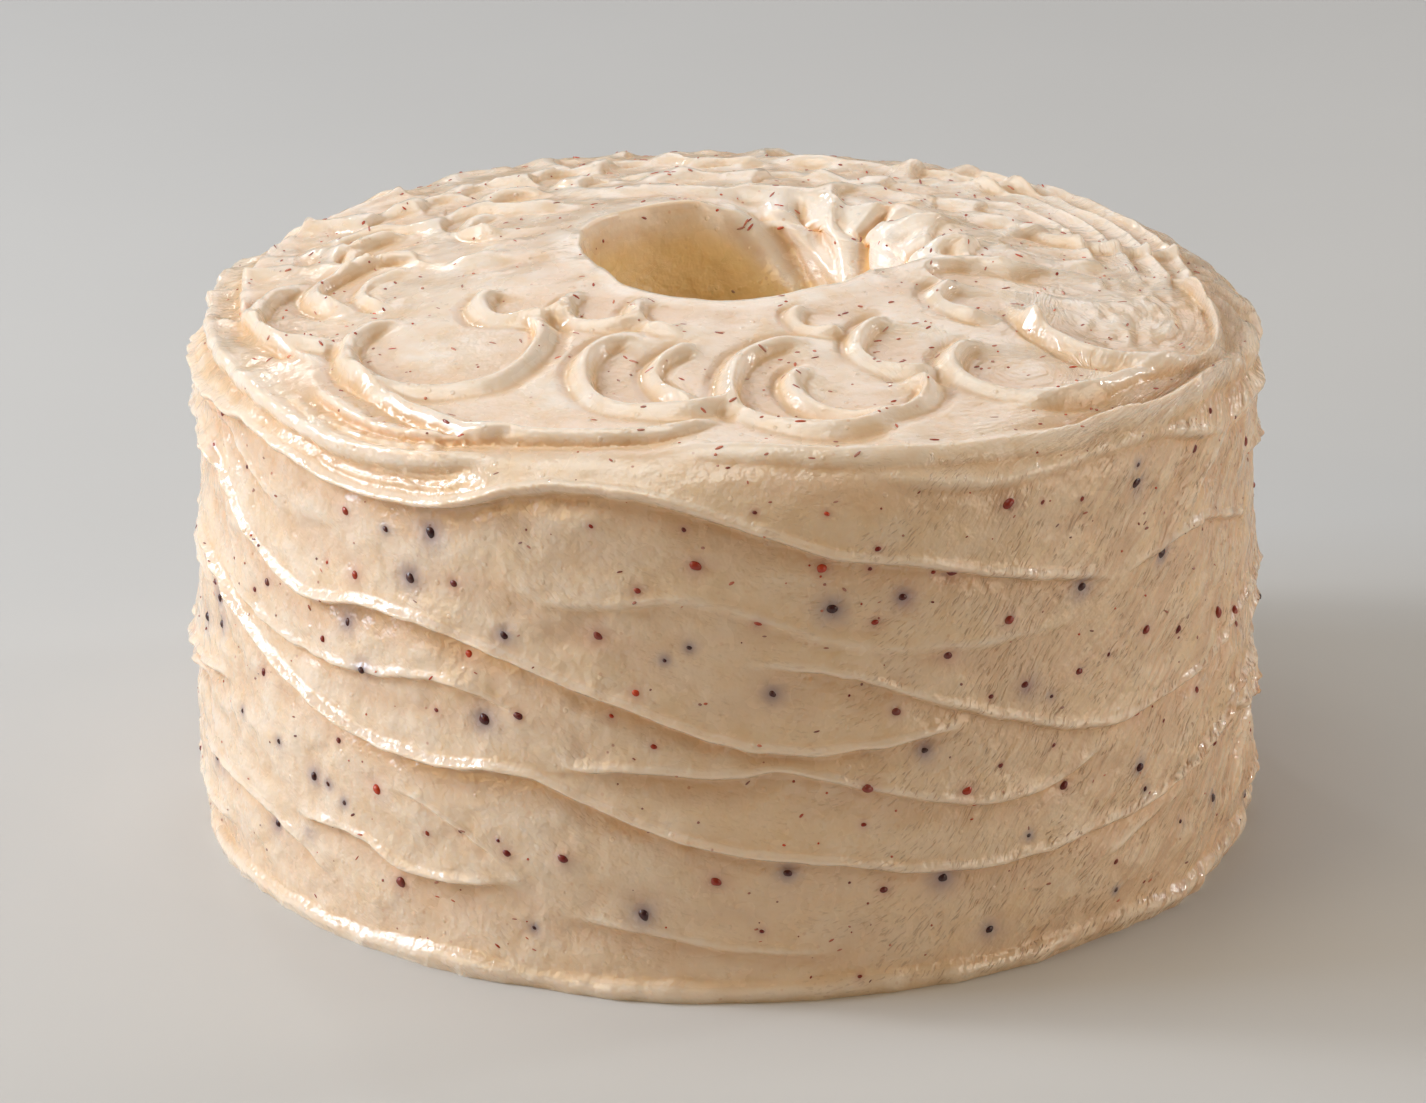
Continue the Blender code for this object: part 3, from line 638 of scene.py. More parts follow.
def frosted(up, angle):
    """Points in millimetres on the finished coat, with the relief's height and the comb."""
    points, normals = base_skin(up, angle)
    height, comb = relief(up, angle, points)
    points = points + normals * height[:, None]
    points[:, :2] *= 1 - lip_slide(up, angle)[:, None]
    return points, height, comb


# %% [markdown]
# ## Where the beads sit
# Whole beads of fruit, 1.3 to 2.7 mm long, sit half sunk in the side: bright red, maroon, and
# some nearly black with a violet-grey cast. The ones that the photograph shows plainly are
# placed by their angle and height. A seeded scatter fills the unseen sides at the same rate.
# Their places come first, because the skin keeps its fine grid round them.

# %% Beads seen in front: kind, then length in mm, then (angle, height up the side)
BIG, MEDIUM, SMALL = 2.7, 2.0, 1.3
FRONT_BEADS = {
    "red": {
        BIG: [(-41.7, 84), (-38.9, 37.4), (-3.3, 96.6), (9.5, 95.4), (29.9, 79.3), (29.9, 104.4),
              (24.9, 43.6), (-1.2, 27.4), (64, 61.7), (68.4, 59.1), (47.9, 49.1)],
        MEDIUM: [(-27.7, 72.2), (-9.1, 91), (3, 84.3), (-43.5, 96.9), (15, 83), (-9.3, 68.8)],
        SMALL: [(-46.2, 84.1), (-11.9, 63), (-7.5, 57.1), (-32.4, 30.6), (10, 107.2), (21.4, 92.1),
                (-13.9, 104.1)],
    },
    "maroon": {
        BIG: [(-36.3, 17.2), (23.3, 91.6), (-13.3, 80.2), (23, 73.6), (14.1, 47.1), (-16.9, 30.6),
              (74.7, 93.3), (49.1, 67.4)],
        MEDIUM: [(-58.5, 51.7), (17.3, 63), (71.4, 53.6), (-29.1, 87.4), (-57.2, 73), (-21.7, 61.1),
                 (-23.1, 29.9), (16.1, 23.6), (58.4, 102.3), (39.1, 63.6), (54.9, 63.9), (31.9, 64.1),
                 (59.1, 47.4), (37.3, 38.8)],
        SMALL: [(-62.2, 95.8), (-59.8, 69.7), (-46.7, 66.9), (-31.3, 58.6), (-44.6, 45.1),
                (-28.5, 32.8), (-4.5, 104.1), (2.7, 108), (15.2, 99.1), (14.6, 94.3), (27.9, 63),
                (29, 47.4), (13.8, 39.1), (-24.1, 32.4), (13.6, 4.7), (39.2, 101.7), (62.7, 108),
                (43.3, 65.2), (35.7, 48.8), (63.1, 32.4), (45.3, 16.7), (34, 103.2), (3.5, 15.8)],
    },
    "dark": {
        BIG: [(-31.9, 97.4), (-34.4, 86.7), (-25.6, 58.8), (10.6, 86.6), (22.7, 24.1), (-8.6, 19.4),
              (47.4, 101), (39.4, 82.2), (51.9, 83)],
        MEDIUM: [(4.5, 68.8), (48, 37.2), (64, 18.8), (20.4, 53.6), (28.2, 10.2), (-23.2, 78.3),
                 (-40.5, 63.6), (-48.5, 34.7), (-56.4, 18), (-43.3, 72.4), (18, 87.8), (6.1, 29.1)],
        SMALL: [(-3.9, 78.9), (-6.4, 76), (-63, 39.7), (-54.6, 38.7), (-43.7, 31.6), (-46.2, 34.3),
                (47.6, 104.9), (32.5, 30.2), (57, 18.2), (-20.4, 13.3), (48.7, 31.9), (45.4, 10.2),
                (35.3, 60), (-37.6, 95.8)],
    },
}

# %% Add the unseen beads
HIDDEN_FROM, HIDDEN_TO = 78.0, 292.0
HIDDEN_LOW, HIDDEN_HIGH = 4, 112
HIDDEN_COUNTS = {BIG: 14, MEDIUM: 16, SMALL: 24}
BeadSet = namedtuple("BeadSet", "up angle length")


def bead_set(sizes, seed):
    rng = np.random.default_rng(seed)
    rows = []
    for length, places in sizes.items():
        rows += [(height, angle, length) for angle, height in places]
        for _ in range(HIDDEN_COUNTS[length]):
            height, angle = rng.uniform(HIDDEN_LOW, HIDDEN_HIGH), rng.uniform(HIDDEN_FROM, HIDDEN_TO)
            rows.append((height, angle, length))
    return BeadSet(*np.array(rows, float).T)


beads = {kind: bead_set(sizes, seed) for seed, (kind, sizes) in enumerate(FRONT_BEADS.items(), 101)}
print({kind: len(places.up) for kind, places in beads.items()}, "beads of each kind")

# %% [markdown]
# ## A dense skin, thinned
# The relief is laid over a grid of about half a million points. That is far more than the piece
# needs on its plain stretches, so Blender's Decimate modifier collapses it to a set number of
# triangles, which leaves them packed along creases and wide on the flats. The true normals ride
# along as an attribute, and are set on the thinned mesh, so that it shades like the dense one.
# A vertex group keeps the grid whole round each bead, for the stain that is painted there.

# %% Grid of the dense skin
STEP_ROUND, STEP_UP = ((0.65, 0.5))
STEP_HOLE = 1.4
FINE_UP_TO = LIP_UP + 45

rows_up = np.concatenate([np.arange(0, FINE_UP_TO, STEP_UP), np.arange(FINE_UP_TO, LENGTH, STEP_HOLE),
                          [LENGTH]])
columns = int(2 * math.pi * CAKE_RADIUS / STEP_ROUND)
column_angle = np.arange(columns) * 360 / columns - 180
up_grid, angle_grid = np.meshgrid(rows_up, column_angle, indexing="ij")
skin_points, skin_height, skin_comb = frosted(up_grid.ravel(), angle_grid.ravel())
skin_points = skin_points.reshape(*up_grid.shape, 3)
skin_height = skin_height.reshape(up_grid.shape)
skin_points[[0, -1], :, 2] = 0
print("grid", up_grid.shape, "lowest and highest", skin_points[..., 2].min(), skin_points[..., 2].max())

# %% [markdown]
# Frosting down in a groove is painted darker and more gold: painted shade that stands in for the
# shadow there and the warm light that reaches it through the frosting and not from above. How
# deep a point lies below its surroundings is easy to measure on the grid: blur the heights over a
# few millimetres and subtract. The wall of the hole and the grooves of the funnel's folds get the
# same painted shade, but the funnel's open slope, where the light falls, is painted light and is
# the palest place of all: there the hole's painted shade is below 0.

# %% How hollow each point lies
HOLLOW_WINDOW, WIDE_WINDOW = 6.0, 22.0
# where the funnel's open slope is painted light, and how strong the painted shade in its fold grooves is
OPEN_SLOPE_SPAN = (-20, -4, 10, 24)
FOLD_GROOVE_SHADE = 1.7


def window_mean(values, half):
    """Mean over 2 * half + 1 neighbours along the last axis, which is taken to close on itself."""
    count = values.shape[-1]
    total = np.cumsum(np.concatenate([values, values, values], axis=-1), axis=-1)
    upper = total[..., count + half:2 * count + half]
    lower = total[..., count - half - 1:2 * count - half - 1]
    return (upper - lower) / (2 * half + 1)


def blurred(height, window):
    spread = np.empty_like(height)
    radius = np.hypot(skin_points[:, 0, 0], skin_points[:, 0, 1])
    for row, values in enumerate(height):
        half = int(window / 2 * columns / (2 * math.pi * radius[row]))
        spread[row] = window_mean(values, half)
    return window_mean(spread.T, int(window / 2 / STEP_UP)).T


# the hollow drives painted shade in grooves and a painted highlight on crests
skin_hollow = blurred(skin_height, HOLLOW_WINDOW) - skin_height
# the wide hollow drives painted shade under ridges and on low floors
skin_wide_hollow = blurred(skin_height, WIDE_WINDOW) - skin_height
past_lip = up_grid - LIP_MIDDLE
lit = in_funnel(up_grid, angle_grid)
open_slope = lit * span(past_lip, *OPEN_SLOPE_SPAN)
# painted shade down the hole and in the grooves of the funnel's folds, and below 0 painted light on its open
# slope
skin_hole_shade_light = smooth_step(8 * lit - 1, 9 * lit + 13, past_lip) - open_slope
skin_hole_shade_light += FOLD_GROOVE_SHADE * open_slope * smooth_step(0.4, 1.6, skin_hollow)
print("hollow, 5th and 95th percentile in mm", np.percentile(skin_hollow, [5, 95]).round(2))


# %% True normals of the grid
def grid_normals(points):
    round_step = np.roll(points, -1, axis=1) - np.roll(points, 1, axis=1)
    return unit(np.cross(round_step, np.gradient(points, axis=0)))


skin_normals = grid_normals(skin_points)
base_normals = base_skin(up_grid.ravel(), angle_grid.ravel())[1].reshape(skin_normals.shape)
# steepness drives painted shade on steep walls; it is kept low on the funnel's open slope, which is painted
# lit
skin_steep = (1 - (skin_normals * base_normals).sum(axis=-1)) * (1 - 0.8 * open_slope)
print("steepness, 50th and 95th percentile", np.percentile(skin_steep, [50, 95]).round(3))


# %% Turn the grid into a mesh
def add_object(name, data):
    """Object in the scene that shows this mesh, lamp or camera."""
    made = bpy.data.objects.new(name, data)
    bpy.context.scene.collection.objects.link(made)
    return made


def add_values(mesh, name, values):
    """Write a number, or a vector, for each point of the mesh as an attribute."""
    kind, field = ("FLOAT_VECTOR", "vector") if values.size > len(mesh.vertices) else ("FLOAT", "value")
    attribute = mesh.attributes.new(name, kind, "POINT")
    attribute.data.foreach_set(field, values.astype(np.float32).ravel())


def grid_mesh(points):
    """Mesh of quads over a grid that closes round the cake."""
    rows, count = points.shape[:2]
    index = np.arange(rows * count).reshape(rows, count)
    beside = np.roll(index, -1, axis=1)
    quads = np.stack([index[:-1], beside[:-1], beside[1:], index[1:]], axis=-1).reshape(-1, 4)
    mesh = bpy.data.meshes.new("frosting_skin")
    mesh.vertices.add(rows * count)
    mesh.vertices.foreach_set("co", (points * MM).astype(np.float32).ravel())
    mesh.loops.add(quads.size)
    mesh.loops.foreach_set("vertex_index", quads.ravel().astype(np.int32))
    mesh.polygons.add(len(quads))
    mesh.polygons.foreach_set("loop_start", np.arange(0, quads.size, 4, dtype=np.int32))
    mesh.update(calc_edges=True)
    return mesh


# %% Thin it, and keep it fine round the beads
KEEP_TRIANGLES = 194000
KEEP_ROUND_BEAD = 2.2


def kept_round_beads():
    """Indices of the grid points within reach of a bead."""
    kept = set()
    for places in beads.values():
        for up, angle in zip(places.up, places.angle):
            rows = np.nonzero(abs(rows_up - up) < KEEP_ROUND_BEAD)[0]
            off = np.radians(turned_from(column_angle, angle)) * CAKE_RADIUS
            near = np.nonzero(abs(off) < KEEP_ROUND_BEAD)[0]
            kept.update((rows[:, None] * columns + near).ravel().tolist())
    return sorted(kept)


def thinned(mesh, triangles, kept):
    dense = add_object("dense_skin", mesh)
    dense.vertex_groups.new(name="keep").add(kept, 1.0, "REPLACE")
    decimate = dense.modifiers.new("Decimate", "DECIMATE")
    decimate.vertex_group, decimate.invert_vertex_group = "keep", True
    decimate.ratio = triangles / (2 * len(mesh.polygons))
    bpy.context.view_layer.update()
    result = bpy.data.meshes.new_from_object(dense.evaluated_get(bpy.context.evaluated_depsgraph_get()))
    bpy.data.objects.remove(dense)
    bpy.data.meshes.remove(mesh)
    return result


dense_mesh = grid_mesh(skin_points)
for name, values in {"comb": skin_comb, "hollow": skin_hollow, "wide_hollow": skin_wide_hollow,
                     "steep": skin_steep, "hole_shade_light": skin_hole_shade_light, "true_normal": skin_normals}.items():
    add_values(dense_mesh, name, values)
skin = thinned(dense_mesh, KEEP_TRIANGLES, kept_round_beads())
print("thinned skin", len(skin.polygons), "triangles", len(skin.vertices), "points")

# %% [markdown]
# The foot edges are set level and the flat ring between them is filled, so that the piece is
# closed underneath. Each corner of the mesh then gets its normal: straight down on the
# underside, and the normal carried from the dense skin everywhere else.

# %% Close the underside
def close_underside(mesh):
    shell = bmesh.new()
    shell.from_mesh(mesh)
    rim = [edge for edge in shell.edges if edge.is_boundary]
    for edge in rim:
        for vertex in edge.verts:
            vertex.co.z = 0
    bmesh.ops.triangle_fill(shell, edges=rim, use_beauty=True, normal=(0, 0, -1))
    bmesh.ops.triangulate(shell, faces=shell.faces[:])
    bmesh.ops.recalc_face_normals(shell, faces=shell.faces[:])
    shell.to_mesh(mesh)
    shell.free()


close_underside(skin)


# %% Set the true normals
def read_array(collection, field, width, kind=np.float32):
    values = np.zeros(len(collection) * width, kind)
    collection.foreach_get(field, values)
    return values.reshape(-1, width) if width > 1 else values


def set_true_normals(mesh):
    mesh.shade_smooth()
    carried = read_array(mesh.attributes["true_normal"].data, "vector", 3)
    carried = carried / np.maximum(np.linalg.norm(carried, axis=1, keepdims=True), 1e-6)
    corner_normal = carried[read_array(mesh.loops, "vertex_index", 1, np.int32)]
    faces_down = read_array(mesh.polygons, "normal", 3)[:, 2] < -0.999
    corner_counts = read_array(mesh.polygons, "loop_total", 1, np.int32)
    corner_normal[np.repeat(faces_down, corner_counts)] = (0, 0, -1)
    mesh.attributes.remove(mesh.attributes["true_normal"])
    mesh.normals_split_custom_set(corner_normal.tolist())


set_true_normals(skin)
cake = add_object("frosting_coat", skin)
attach(cake, "root")
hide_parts("frosted_cake")
print("frosting_coat", len(skin.polygons), "triangles, size in mm",
      [round(side / MM, 1) for side in cake.dimensions])

# %% [markdown]
# ## Beads in the frosting
# A bead is a small sphere, made a little uneven, drawn out along the pull and sunk into the
# surface. All beads of one kind are joined into one mesh, so each kind is one piece. Two
# attributes go with them: shade keeps their colours apart, and veil says how far a point is
# covered by a thin film of frosting, as it is near the surface and at the bead's upper end.

# %% Where a spot on the cake is
def surface_spots(up, angle):
    """Points in metres, outward normals and a direction along the surface, at places on the coat."""
    up, angle = np.asarray(up, float), np.asarray(angle, float)
    reach = 0.4
    here = frosted(up, angle)[0]
    above = frosted(up + reach, angle)[0]
    beside = frosted(up, angle + np.degrees(reach / np.hypot(here[:, 0], here[:, 1])))[0]
    return here * MM, unit(np.cross(beside - here, above - here)), unit(beside - here)


def ball(subdivisions):
    """Points and triangles of a small sphere of radius 1."""
    made = bmesh.new()
    bmesh.ops.create_icosphere(made, subdivisions=subdivisions, radius=1)
    points = np.array([v.co for v in made.verts])
    triangles = np.array([[v.index for v in face.verts] for face in made.faces])
    made.free()
    return points, triangles


# %% Join many sunk balls into one mesh
BALL_LUMPS, BALL_CELL = 0.14, (0.9, 0.9, 0.9)
FILM, TAIL = 0.15, 0.5


def sunk_pieces(name, spots, tilt, sizes, sink, shades, covers, subdivisions, seed):
    """One mesh of balls. For each spot: tilt of its length in degrees, sizes (long, wide, thick)
    and sink in mm, shade, and how far the frosting covers all of it."""
    rng = np.random.default_rng(seed)
    centre, normal, along = spots
    count = len(centre)
    turn = np.radians(tilt)[:, None]
    first = along * np.cos(turn) + np.cross(normal, along) * np.sin(turn)
    axes = np.stack([first, np.cross(normal, first), normal], axis=1) * (sizes / 2 * MM)[:, :, None]
    shape, triangles = ball(subdivisions)
    apart = shape[None] + rng.uniform(0, 20, (count, 1, 3))
    lumpy = 1 + BALL_LUMPS * unevenness(apart, BALL_CELL, seed)[..., None]
    points = np.einsum("nvk,nkd->nvd", shape[None] * lumpy, axes)
    points = points + (centre - normal * (sink * MM)[:, None])[:, None]
    level = (2 * sink / sizes[:, 2])[:, None]
    film = FILM * (1 - smooth_step(-0.05, 0.2, shape[None, :, 2] - level))
    tail = smooth_step(0.1, 1.0, -shape[None, :, 0]) * rng.uniform(0, TAIL, (count, 1))
    faces = (triangles[None] + np.arange(count)[:, None, None] * len(shape)).reshape(-1, 3)
    mesh = bpy.data.meshes.new(name)
    mesh.from_pydata(points.reshape(-1, 3).tolist(), [], faces.tolist())
    mesh.shade_smooth()
    add_values(mesh, "shade", np.repeat(shades, len(shape)))
    add_values(mesh, "veil", np.maximum(np.maximum(film, tail), covers[:, None]))
    piece = add_object(name, mesh)
    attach(piece, "root")
    print(name, count, "balls", len(faces), "triangles")
    return piece


# %% The beads
BEAD_TILT = [(-60, -52), (-20, -36), (10, -14), (30, 14), (60, 46), (90, 40), (180, 0), (260, -20)]
BEAD_SHADES = {"red": (0.62, 0.95), "maroon": (0.3, 0.6), "dark": (0.03, 0.2)}
BEAD_COVERS = {"red": (0, 0.06), "maroon": (0, 0.14), "dark": (0, 0.14)}
BEAD_SUBDIVISIONS = 3


def bead_piece(kind, seed):
    rng = np.random.default_rng(seed)
    places = beads[kind]
    count = len(places.up)
    long = places.length * rng.uniform(0.85, 1.15, count)
    wide = long * rng.uniform(0.68, 0.82, count)
    tilt = curve_round(BEAD_TILT, places.angle) + rng.uniform(-18, 18, count)
    sink = wide * rng.uniform(0.1, 0.3, count)
    shades, covers = (rng.uniform(*limits[kind], count) for limits in (BEAD_SHADES, BEAD_COVERS))
    return sunk_pieces(kind + "_beads", surface_spots(places.up, places.angle), tilt,
                       np.stack([long, wide, wide], axis=1), sink, shades, covers,
                       BEAD_SUBDIVISIONS, seed)


fruit_pieces = [bead_piece(kind, seed) for seed, kind in enumerate(beads, 11)]

# %% [markdown]
# ## Flecks
# Torn bits of skin and pulp are everywhere: short rust-red dashes on the top, dragged along by
# the spatula, and tiny dots on the side. They are the same sunk balls, drawn out long and thin.

# %% Flecks on the top, the side and in the hole
TOP_FROM, TOP_TO = 118.0, 198.0
Flecks = namedtuple("Flecks", "name count low high long wide shades seed")
FLECKS = [
    Flecks("top_flecks", 900, TOP_FROM, TOP_TO, 1.5, 0.6, (0.6, 1.0), 21),
    Flecks("side_flecks", 620, 3, TOP_FROM, 0.9, 0.5, (0.35, 1.0), 22),
    Flecks("hole_flecks", 50, TOP_TO, LENGTH - 20, 1.6, 1.0, (0.05, 0.6), 23),
]
FLECK_COVER = 0.8
FLECK_SUBDIVISIONS = 2


def fleck_piece(kind):
    rng = np.random.default_rng(kind.seed)
    up, angle = rng.uniform(kind.low, kind.high, kind.count), rng.uniform(-180, 180, kind.count)
    crowded = np.interp(up, fine_up, fine_radius) / CAKE_RADIUS
    kept = rng.uniform(0, 1, kind.count) < crowded
    up, angle = up[kept], angle[kept]
    count = len(up)
    wide = kind.wide * rng.uniform(0.6, 1.3, count)
    long = np.maximum(kind.long * rng.uniform(0.3, 1.4, count) ** 1.5, wide * 1.1)
    tilt = rng.normal(0, 30, count)
    sink = wide * rng.uniform(0.0, 0.2, count)
    shades, covers = (rng.uniform(*limits, count) for limits in (kind.shades, (0, FLECK_COVER)))
    return sunk_pieces(kind.name, surface_spots(up, angle), tilt,
                       np.stack([long, wide, wide * 0.7], axis=1), sink, shades, covers,
                       FLECK_SUBDIVISIONS, kind.seed)


fruit_pieces += [fleck_piece(kind) for kind in FLECKS]

# %% [markdown]
# ## Stains
# The frosting is tinted where a bead bleeds into it: violet-grey round the dark ones, pink round
# the red ones. Some beads lie so deep that only their stain shows. The tint is painted on the
# coat's points, as two attributes for the finish.

# %% Paint the stains; the deep ones are (angle, height up the side, reach in mm)
DEEP_BLUE = [(4.4, 68.9, 2.6), (32.4, 63, 4.4), (20.5, 53.3, 3.2), (6, 29.1, 2.6), (-25.2, 58, 3.0),
             (-49.5, 21, 2.4)]
DEEP_PINK = [(15.1, 83, 2.6), (18.3, 87.4, 3.0), (17.2, 63.2, 2.4), (-28.8, 86.8, 2.0)]
BLUE_REACH, PINK_REACH = 1.5, 1.1
DEEP_STRENGTH = 0.75
STAIN_WIDTH = 0.8


def paint_stain(mesh, name, places, deep, reach_of_bead):
    points = read_array(mesh.vertices, "co", 3)
    angle, up, reach = np.array(deep).T
    up, angle = np.concatenate([up, places.up]), np.concatenate([angle, places.angle])
    width = np.concatenate([reach, places.length * reach_of_bead]) * MM
    full = np.concatenate([np.full(len(deep), DEEP_STRENGTH), np.ones(len(places.up))])
    strength = np.zeros(len(points))
    for centre, size, most in zip(surface_spots(up, angle)[0], width, full):
        near = np.linalg.norm(points - centre, axis=1) / size
        strength = np.maximum(strength, most * bump_at(near, STAIN_WIDTH))
    add_values(mesh, name, strength)


paint_stain(skin, "blue_stain", beads["dark"], DEEP_BLUE, BLUE_REACH)
paint_stain(skin, "pink_stain", BeadSet(*np.hstack([beads["red"], beads["maroon"]])), DEEP_PINK, PINK_REACH)

# %% [markdown]
# ## Writing a finish
# A material is a graph of nodes, and long graphs are hard to read as lists of links. Here a
# socket is wrapped so that it can stand in a sum, and a finish is written as formulas.

# %% Sockets that can stand in a formula
class Wire:
    """A socket of one finish: arithmetic on it adds the Math nodes."""

    def __init__(self, finish, socket):
        self.finish, self.socket = finish, socket

    def math(self, operation, first, second):
        return self.finish.node("ShaderNodeMath", {0: first, 1: second}, operation=operation)

    def __add__(self, other):
        return self.math("ADD", self, other)

    def __sub__(self, other):
        return self.math("SUBTRACT", self, other)

    def __rsub__(self, other):
        return self.math("SUBTRACT", other, self)

    def __mul__(self, other):
        return self.math("MULTIPLY", self, other)

    __radd__, __rmul__ = __add__, __mul__


# %% A finish, and the one way of adding nodes to it
class Finish:
    """A material whose nodes are added by node, and whose shader is fed by shade."""

    def __init__(self, name):
        self.material = bpy.data.materials.new(name)
        self.material.use_nodes = True
        self.tree = self.material.node_tree
        self.shader = self.tree.nodes["Principled BSDF"]

    def feed(self, socket, value):
        if isinstance(value, Wire):
            self.tree.links.new(value.socket, socket)
        else:
            socket.default_value = value

    def node(self, kind, sockets, output=0, stops=(), **settings):
        made = self.tree.nodes.new(kind)
        for setting, value in settings.items():
            setattr(made, setting, value)
        for position, colour in stops[2:]:
            made.color_ramp.elements.new(position)
        for element, (position, colour) in zip(made.color_ramp.elements if stops else (), stops):
            element.position, element.color = position, colour
        for socket, value in sockets.items():
            self.feed(made.inputs[socket], value)
        return Wire(self, made.outputs[output])

    def shade(self, sockets):
        for socket, value in sockets.items():
            self.feed(self.shader.inputs[socket], value)
        return self.material

    def attribute(self, name):
        return self.node("ShaderNodeAttribute", {}, "Fac", attribute_name=name)

    def place(self):
        return self.node("ShaderNodeTexCoord", {}, "Object")

    def mix(self, factor, first, second):
        return self.node("ShaderNodeMix", {0: factor, 6: first, 7: second}, 2, data_type="RGBA")

    def between(self, value, low, high):
        """Soft step from 0 at low to 1 at high."""
        return self.node("ShaderNodeMapRange", {0: value, 1: low, 2: high}, interpolation_type="SMOOTHSTEP")

    def noise(self, vector, scale, detail=2.0, distortion=0.0):
        sockets = {"Vector": vector, "Scale": scale, "Detail": detail, "Distortion": distortion}
        return self.node("ShaderNodeTexNoise", sockets)


# %% [markdown]
# ## The frosting's finish
# Cream frosting lets light in and glows warm in its folds, so it has strong subsurface light with
# red going deepest. Over that lies a moist gloss. The colour is cream with paler and tanner
# patches, and hundreds of specks just under the surface, too small to be worth a mesh.

# %% Frosting: what its patterns are drawn by
frosting = Finish("cream_frosting")
between = frosting.between
place = frosting.place()
place_x, place_y, place_z = (frosting.node("ShaderNodeSeparateXYZ", {0: place}, axis) for axis in "XYZ")
comb, hollow, wide_hollow, steep, hole_shade_light = (
    frosting.attribute(name) for name in ("comb", "hollow", "wide_hollow", "steep", "hole_shade_light"))


def per_mm(cell):
    """Texture scale, for coordinates in metres, that gives cells of this many millimetres."""
    return 1 / (cell * MM)


def mottled(cell, detail):
    """Noise with lumps of this many millimetres."""
    return frosting.noise(place, per_mm(cell), detail)


def combed(along_mm, across_mm, detail, distortion=0.0):
    """Noise stretched along the spatula's path."""
    along = frosting.node("ShaderNodeCombineXYZ", {
        0: place_x * per_mm(along_mm), 1: place_y * per_mm(along_mm), 2: comb * (1 / across_mm)})
    return frosting.noise(along, 1.0, detail, distortion)


def specks(cell, radius, share, seed):
    """Mask of round specks: one for some cells of a Voronoi pattern."""
    shift = frosting.node("ShaderNodeVectorMath", {0: place, 1: (seed, 2 * seed, 3 * seed)},
                          operation="ADD")
    cells = {"Vector": shift, "Scale": per_mm(cell)}
    distance, colour = (frosting.node("ShaderNodeTexVoronoi", cells, output)
                        for output in ("Distance", "Color"))
    chosen, size = (frosting.node("ShaderNodeSeparateColor", {0: colour}, output)
                    for output in ("Red", "Green"))
    core = 1 - between(distance, radius / cell * 0.5, radius / cell * 1.3)
    return core * between(chosen, 1 - share, 1 - share + 0.02) * (size * 0.7 + 0.3)


# %% [markdown]
# The colour is built up as a painter would: a ground of cream, then thin layers, each with a mask
# that says how much of it shows where. Much of it is painted light and shade: hollows, the recess
# under each ridge, steep walls, the hole and the grooves of the funnel's folds get painted shade in
# tan and gold, crests get a painted highlight, and the funnel's open slope is painted light. The
# side is tanner than the top, partly its own tone and partly painted shade that grows towards the
# right, away from the key lamps. Stains and specks come last, and at the far right darker streaks
# and dashes lie along the strokes; the streaks are painted shade in the grooves the bump carves.

# %% Frosting: colour
CREAM = (0.90, 0.75, 0.60, 1)
PALE_CREAM = (0.93, 0.82, 0.70, 1)
# tan tone of the frosting, also used as painted shade on the side
TAN_TONE_AND_SHADE_CREAM = (0.83, 0.59, 0.35, 1)
# painted shade
SHADED_CREAM = (0.74, 0.50, 0.32, 1)
# painted highlight
CREST_HIGHLIGHT_CREAM = (0.93, 0.82, 0.69, 1)
# painted light
PAINTED_LIGHT_CREAM = (0.96, 0.88, 0.78, 1)
# painted shade in hollows and on steep walls
PAINTED_SHADE_GOLD = (0.72, 0.48, 0.26, 1)
# painted shade down the hole
HOLE_SHADE_GOLD = (0.92, 0.66, 0.31, 1)
BLUE_GREY = (0.29, 0.205, 0.24, 1)
PINK = (0.62, 0.30, 0.22, 1)
DASH_TAN = (0.47, 0.28, 0.17, 1)
SPECK_RED = (0.46, 0.14, 0.09, 1)
SPECK_TAN = (0.70, 0.42, 0.25, 1)

